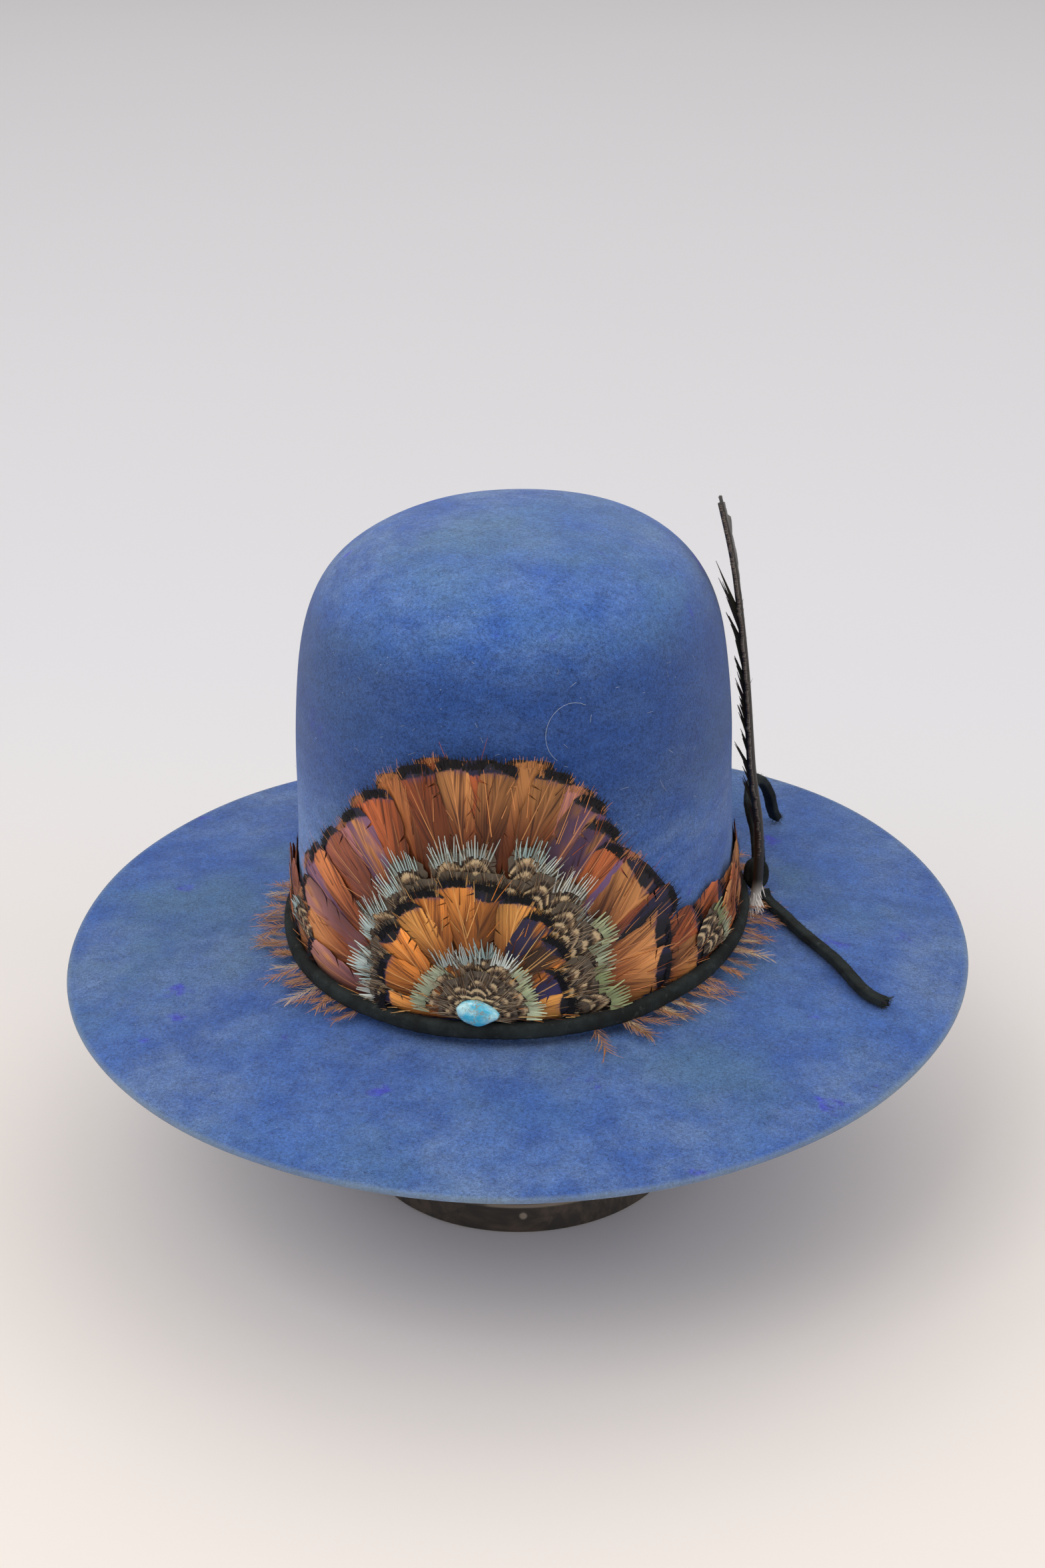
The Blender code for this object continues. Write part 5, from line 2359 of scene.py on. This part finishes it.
    def fray(self) -> None:
        """Builds the frayed white foot and the loose dark barbs beside the quill."""
        bed = BarbBed(self.crown, 5)
        rng, draw = bed.rng, bed.rng.uniform
        line = self.line(400)
        for _ in range(46):
            root = line[rng.integers(4, 22)] + rng.normal(0.0, 0.0009, 3)
            way = (draw(-0.35, 0.75), draw(-0.9, 0.2), -1.0)
            tint = tinted((0.92, 0.88, 0.83), draw(0.75, 1.1))
            bed.add(root, way, draw(0.0045, 0.0085), 0.0008, 0.0008, tint, (0.3, -1.0, 0.3))
        for share, rise, reach in self.tufts:
            for _ in range(5):
                root = line[int((share + draw(-0.015, 0.008)) * 399)]
                way = np.array((-reach * draw(0.82, 1.0), rng.normal(0.0, 0.0008), rise))
                length = float(np.linalg.norm(way)) * draw(0.75, 1.0)
                tint = bed.speckle((0.020, 0.016, 0.014), 0.6, 1.6)
                bed.add(root, way, length, 0.00150, 0.0003, tint, (0.2, -1.0, 0.3))
        for _ in range(60):
            share = draw(0.14, 0.90)
            away = rng.choice((-1.0, 1.0), p=(0.7, 0.3))
            way = (away * draw(0.15, 0.45), draw(-0.3, 0.3), 1.0)
            tint = bed.speckle((0.022, 0.017, 0.015), 0.6, 1.8)
            length = draw(0.003, 0.007) * (1.0 - 0.5 * share)
            face = rng.normal(0.0, 1.0, 3)
            bed.add(line[int(share * 399)], way, length, 0.00040, 0.0006, tint, face)
        bed.build("feather_fray", BarbFinish("quill_fray").paint(), 0.12, Slot.DARK_FEATHER, False)


# The stand


@dataclass(frozen=True)
class WoodStand:
    """The turned stand: its foot is made here, and its post and top are the solids.

    Attributes:
        radius: the foot's radius.
        height: the foot's height.
        edge: the roundness of its upper edge.
        chamfer: the small slope round its lower edge.
        around: how many points go round it.
    """

    radius: float = 0.0653
    height: float = 0.0145
    edge: float = 0.0012
    chamfer: float = 0.0006
    around: int = 160

    def build(self) -> None:
        """Builds the foot and gives the solids their wood."""
        wood = WoodFinish().paint()
        inner = self.radius - self.edge
        profile = [(0.0, self.height), (inner * 0.5, self.height)]
        for bend in np.linspace(0.0, math.pi / 2, 6):
            drop = self.edge * (1 - math.cos(bend))
            profile.append((inner + self.edge * math.sin(bend), self.height - drop))
        profile += [(self.radius, 0.004), (self.radius, self.chamfer)]
        profile += [(self.radius - self.chamfer, 0.0), (0.0, 0.0)]
        bm = bmesh.new()
        line = [bm.verts.new((radius, 0.0, level)) for radius, level in profile]
        edges = [bm.edges.new(pair) for pair in zip(line, line[1:])]
        bmesh.ops.spin(
            bm,
            geom=[*line, *edges],
            axis=(0.0, 0.0, 1.0),
            cent=(0.0, 0.0, 0.0),
            angle=2 * math.pi,
            steps=self.around,
            use_merge=True,
        )
        bmesh.ops.remove_doubles(bm, verts=bm.verts, dist=0.00001)
        item = from_bmesh(bm, "stand_foot")
        face_out(item)
        item.data.set_sharp_from_angle(angle=math.radians(40.0))
        item.data.materials.append(wood)
        keep(item, Slot.WOOD, "stand_base")
        for name in ("stand_post", "stand_top"):
            solid = frame["nodes"][name]
            solid.data.materials.clear()
            solid.data.materials.append(wood)
            LOG.info("%s: the solid, with its wood", name)


# The room


@dataclass(frozen=True)
class Studio:
    """The floor, the lights and the camera.

    Attributes:
        place: the camera's place.
        elevation: how far it looks down, in degrees.
        azimuth: how far it stands towards +X, in degrees.
        roll: how far it is rolled, in degrees.
        lens: its lens for a sensor 36 mm high.
        floor_radius: the floor's radius.
        room_colour: the colour of the light from all round.
        room_strength: its strength.
        lights: each light's name, place, aim, size and watts.
    """

    place: Row = (0.152173, -0.847397, 0.561494)
    elevation: float = 24.60266
    azimuth: float = 10.0
    roll: float = -0.92212
    lens: float = 55.0
    floor_radius: float = 9.0
    room_colour: Colour = (1.0, 0.975, 0.945)
    room_strength: float = 0.40
    lights: tuple[tuple[str, Row, Row, float, float], ...] = (
        ("light_ceiling", (-0.3, 0.8, 3.2), (-0.3, 0.8001, 0.0), 9.0, 150.0),
        ("light_front", (-0.8, -1.7, 2.2), (0.0, -0.1, 0.0), 1.4, 18.0),
        ("light_right", (2.0, -0.7, 1.1), (0.0, -0.1, 0.1), 1.6, 11.0),
        ("light_left", (-2.0, -0.7, 1.1), (0.0, -0.1, 0.1), 1.6, 6.0),
    )

    def build(self) -> None:
        """Builds the room."""
        self.set_camera()
        self.lay_floor()
        self.hang_lights()

    def set_camera(self) -> None:
        """Puts the camera where the photograph was taken from."""
        data = bpy.data.cameras.new("camera")
        data.sensor_fit = "VERTICAL"
        data.sensor_height = 36.0
        data.lens = self.lens
        turn, rise, roll = (math.radians(a) for a in (self.azimuth, self.elevation, self.roll))
        right = Vector((math.cos(turn), math.sin(turn), 0.0))
        level = Vector((math.sin(turn), -math.cos(turn), 0.0))
        back = level * math.cos(rise) + Vector((0.0, 0.0, math.sin(rise)))
        up = back.cross(right)
        rolled = right * math.cos(roll) + up * math.sin(roll)
        upright = up * math.cos(roll) - right * math.sin(roll)
        matrix = Matrix((rolled, upright, back)).transposed().to_4x4()
        matrix.translation = Vector(self.place)
        item = link(bpy.data.objects.new("camera", data))
        item.matrix_world = matrix
        bpy.context.scene.camera = item

    def lay_floor(self) -> None:
        """Lays the pale floor."""
        turn = np.linspace(0.0, 2 * math.pi, 96, endpoint=False)
        rim = np.stack([np.cos(turn), np.sin(turn), np.zeros_like(turn)], axis=1) * self.floor_radius
        mesh_object("floor", rim, [list(range(len(turn)))], FloorFinish().paint())

    def hang_lights(self) -> None:
        """Hangs a wide soft ceiling of light and three small lights in a pale room."""
        world = bpy.data.worlds.new("pale_room")
        world.use_nodes = True
        background = world.node_tree.nodes["Background"]
        background.inputs["Color"].default_value = (*self.room_colour, 1.0)
        background.inputs["Strength"].default_value = self.room_strength
        bpy.context.scene.world = world
        bpy.context.scene.view_settings.view_transform = "Standard"
        for name, place, aim, size, watts in self.lights:
            data = bpy.data.lights.new(name, "AREA")
            data.shape = "SQUARE"
            data.size = size
            data.energy = watts
            item = link(bpy.data.objects.new(name, data))
            item.location = place
            way = Vector(aim) - Vector(place)
            item.rotation_euler = way.to_track_quat("-Z", "Y").to_euler()


def main() -> None:
    """Builds the room and then every piece of the hat and its stand."""
    logging.basicConfig(level=logging.INFO, format="%(message)s")
    crown = CrownForm()
    Studio().build()
    for piece in (SuedeLace, FeltHat, FeltLint, FeatherTrim, TurquoiseNugget, StandingFeather):
        piece(crown).build()
    WoodStand().build()
    LOG.info("all pieces are in place")


if __name__ == "__main__":
    main()
